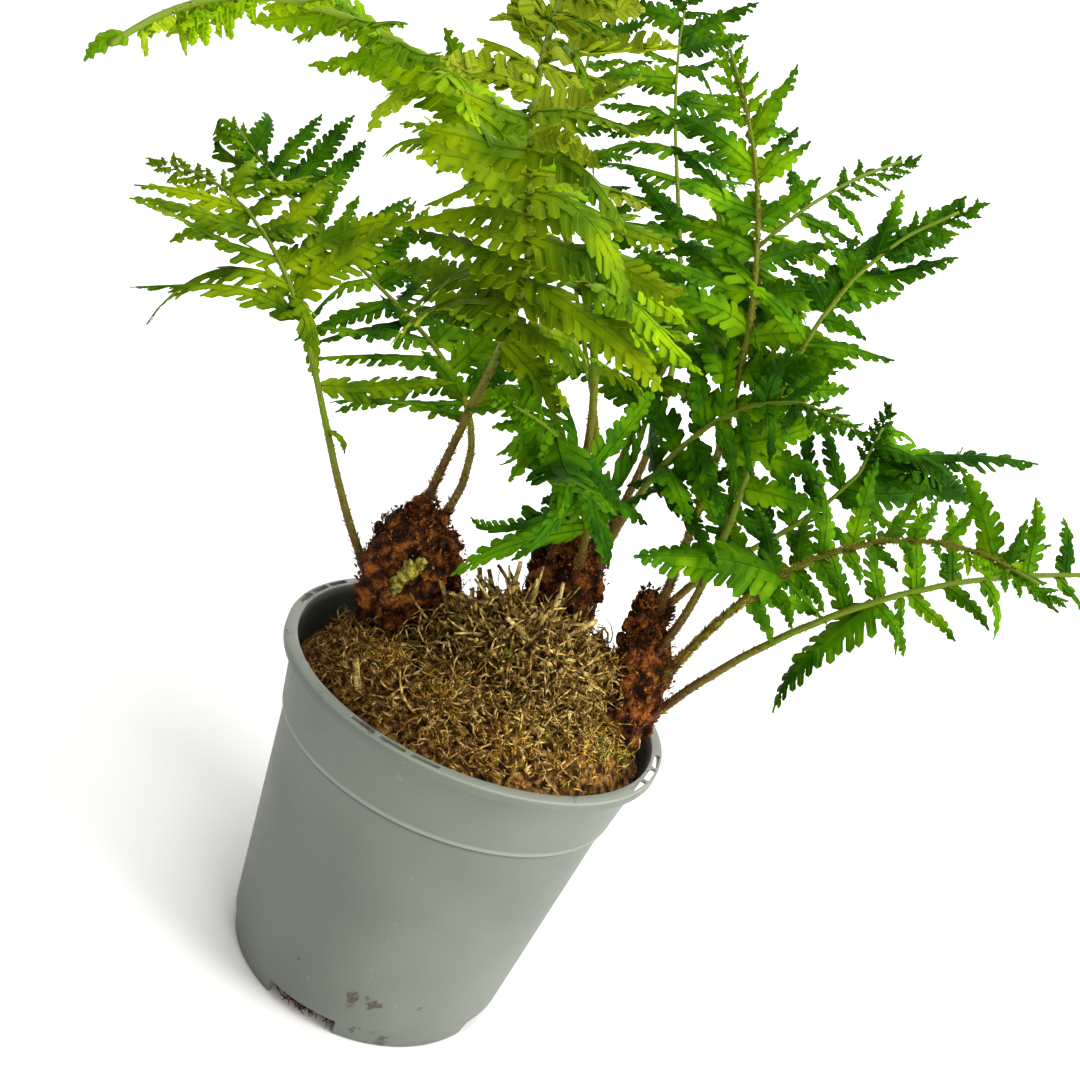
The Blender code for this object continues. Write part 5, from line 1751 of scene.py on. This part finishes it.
def smooth_line(points, cuts):
    """More points on a smooth line through these."""
    padded = [points[0] * 2 - points[1]] + list(points) + [points[-1] * 2 - points[-2]]
    made = []
    for a, b, c, d in zip(padded, padded[1:], padded[2:], padded[3:]):
        for k in range(cuts):
            t = k / cuts
            made.append(0.5 * (2 * b + (c - a) * t + (2 * a - 5 * b + 4 * c - d) * t ** 2
                               + (3 * b - a - 3 * c + d) * t ** 3))
    return made + [points[-1]]


def keep_in_box(bm):
    """Pulls back what would stand out of the frame's box, by less than a leaf's thickness or two."""
    low, high = (corner / MM for corner in cad_box)
    for vert in bm.verts:
        for axis in range(3):
            vert.co[axis] = min(max(vert.co[axis], low[axis] + BOX_ROOM), high[axis] - BOX_ROOM)


def make_frond(frond, leaflets, added, scale):
    draw = random.Random(frond.name + " fine")
    line = stem_line(frond)
    foot = line[0] - heading(frond, 0) * STIPE_DEPTH
    points = smooth_line([foot] + [on_line(line, i / STEM_KNOTS) for i in range(STEM_KNOTS + 1)], 2)
    radii = [stem_radius(i / len(points)) * (1.15 - 0.3 * i / len(points)) for i in range(len(points))]
    bm = bmesh.new()
    add_tubes(bm, [list(zip(points, radii))], 2, 2)
    for number, leaflet in enumerate(leaflets[:-1]):
        shown = flexed(frond, leaflet)
        if frond.name in NEAREST and number < FIRST_FEW and leaflet.along.x > 0:
            shown = shown._replace(length=shown.length * FIRST_SHORT, width=shown.width * FIRST_NARROW)
        fine_leaflet(bm, shown, draw, frond.name in NEAREST)
    for leaflet in added:
        fine_leaflet(bm, leaflet, draw, frond.name in NEAREST)
    fine_tip(bm, frond, leaflets[-1], draw)
    first = len(bm.faces)
    shaggy = SHAGGY_STEMS.get(frond.name, 1.0)
    for i in range(int(frond.length * CHAFF_PER_MM * shaggy)):
        share = draw.random() ** (2.2 if shaggy < 2 else 1.2)
        place = on_line(points, 0.05 + 0.9 * share)
        way = heading(frond, share)
        out = any_side(draw, way)
        size = draw.uniform(1.4, 3.8) * (1 - 0.6 * share)
        along = way * draw.uniform(0.8, 2.4) + out
        point = place + out * stem_radius(share) * 0.8
        scale.press_turned(bm, placed_along(point, along, out, size * draw.uniform(0.12, 0.26), 0.35, size))
    give_material(bm, first, 3)
    keep_in_box(bm)
    # Some lower fronds take the darker deep copy of the leaf: painted shade
    look = LEAF["deep" if frond.name in SHADED_FRONDS else frond.finish]
    obj = mesh_object(frond.name + "_fine", bm, [*look, STIPE, CHAFF])
    finished(obj, "leaf_" + frond.finish, frond.name)


# Studio


def make_studio():
    """A pale paper sweep: a floor that curves up far behind the plant."""
    bm = bmesh.new()
    line = [bm.verts.new((0, y, 0)) for y in (-SWEEP_HALF, 0, SWEEP_FLAT)]
    for i in range(1, SWEEP_STEPS + 1):
        angle = math.radians(90 * i / SWEEP_STEPS)
        line.append(bm.verts.new((0, SWEEP_FLAT + SWEEP_CURVE * math.sin(angle),
                                  SWEEP_CURVE - SWEEP_CURVE * math.cos(angle))))
    line.append(bm.verts.new((0, SWEEP_FLAT + SWEEP_CURVE, SWEEP_HEIGHT)))
    edges = [bm.edges.new(pair) for pair in zip(line, line[1:])]
    made = bmesh.ops.extrude_edge_only(bm, edges=edges)["geom"]
    moved = [v for v in made if isinstance(v, bmesh.types.BMVert)]
    bmesh.ops.translate(bm, vec=(2 * SWEEP_HALF, 0, 0), verts=moved)
    bmesh.ops.translate(bm, vec=(-SWEEP_HALF, 0, -SWEEP_BELOW), verts=bm.verts)
    bmesh.ops.recalc_face_normals(bm, faces=bm.faces)
    paper = mesh_object("paper_sweep", bm, [studio_paper()])


def add_light(name, place, target, size, power, colour):
    data = bpy.data.lights.new(name, "AREA")
    data.shape = "DISK"
    data.size = size
    data.energy = power
    data.color = colour
    lamp = new_object(name, data)
    lamp.location = place
    lamp.rotation_euler = (Vector(target) - Vector(place)).to_track_quat("-Z", "Y").to_euler()


def make_camera_and_lights():
    camera = bpy.data.cameras.new("camera")
    camera.lens = CAMERA_LENS
    camera.sensor_width = CAMERA_SENSOR
    camera.clip_start = 0.02
    seen = new_object("camera", camera)
    place = Matrix((RIGHT, UPWARD, -FORWARD)).transposed().to_4x4()
    place.translation = CAMERA_PLACE
    seen.matrix_world = place
    bpy.context.scene.camera = seen
    for light in LIGHTS:
        add_light(*light)
    world = bpy.data.worlds.new("soft_studio")
    world.use_nodes = True
    ground = world.node_tree.nodes["Background"]
    ground.inputs["Color"].default_value = (1, 1, 1, 1)
    ground.inputs["Strength"].default_value = WORLD_STRENGTH
    bpy.context.scene.world = world
    bpy.context.scene.view_settings.view_transform = "Standard"


make_camera_and_lights()
make_studio()
make_pot()
make_compost()
make_fibres()
make_moss()
make_stubs()
make_chips()
make_drain_roots()
papery_scale = scale_stamp()
for crown in CROWNS:
    make_crown(crown, papery_scale)
make_bud()
placed_leaflets = all_leaflets()
finer_leaflets = added_leaflets(placed_leaflets)
for frond in FRONDS:
    make_frond(frond, placed_leaflets[frond.name], finer_leaflets[frond.name], papery_scale)
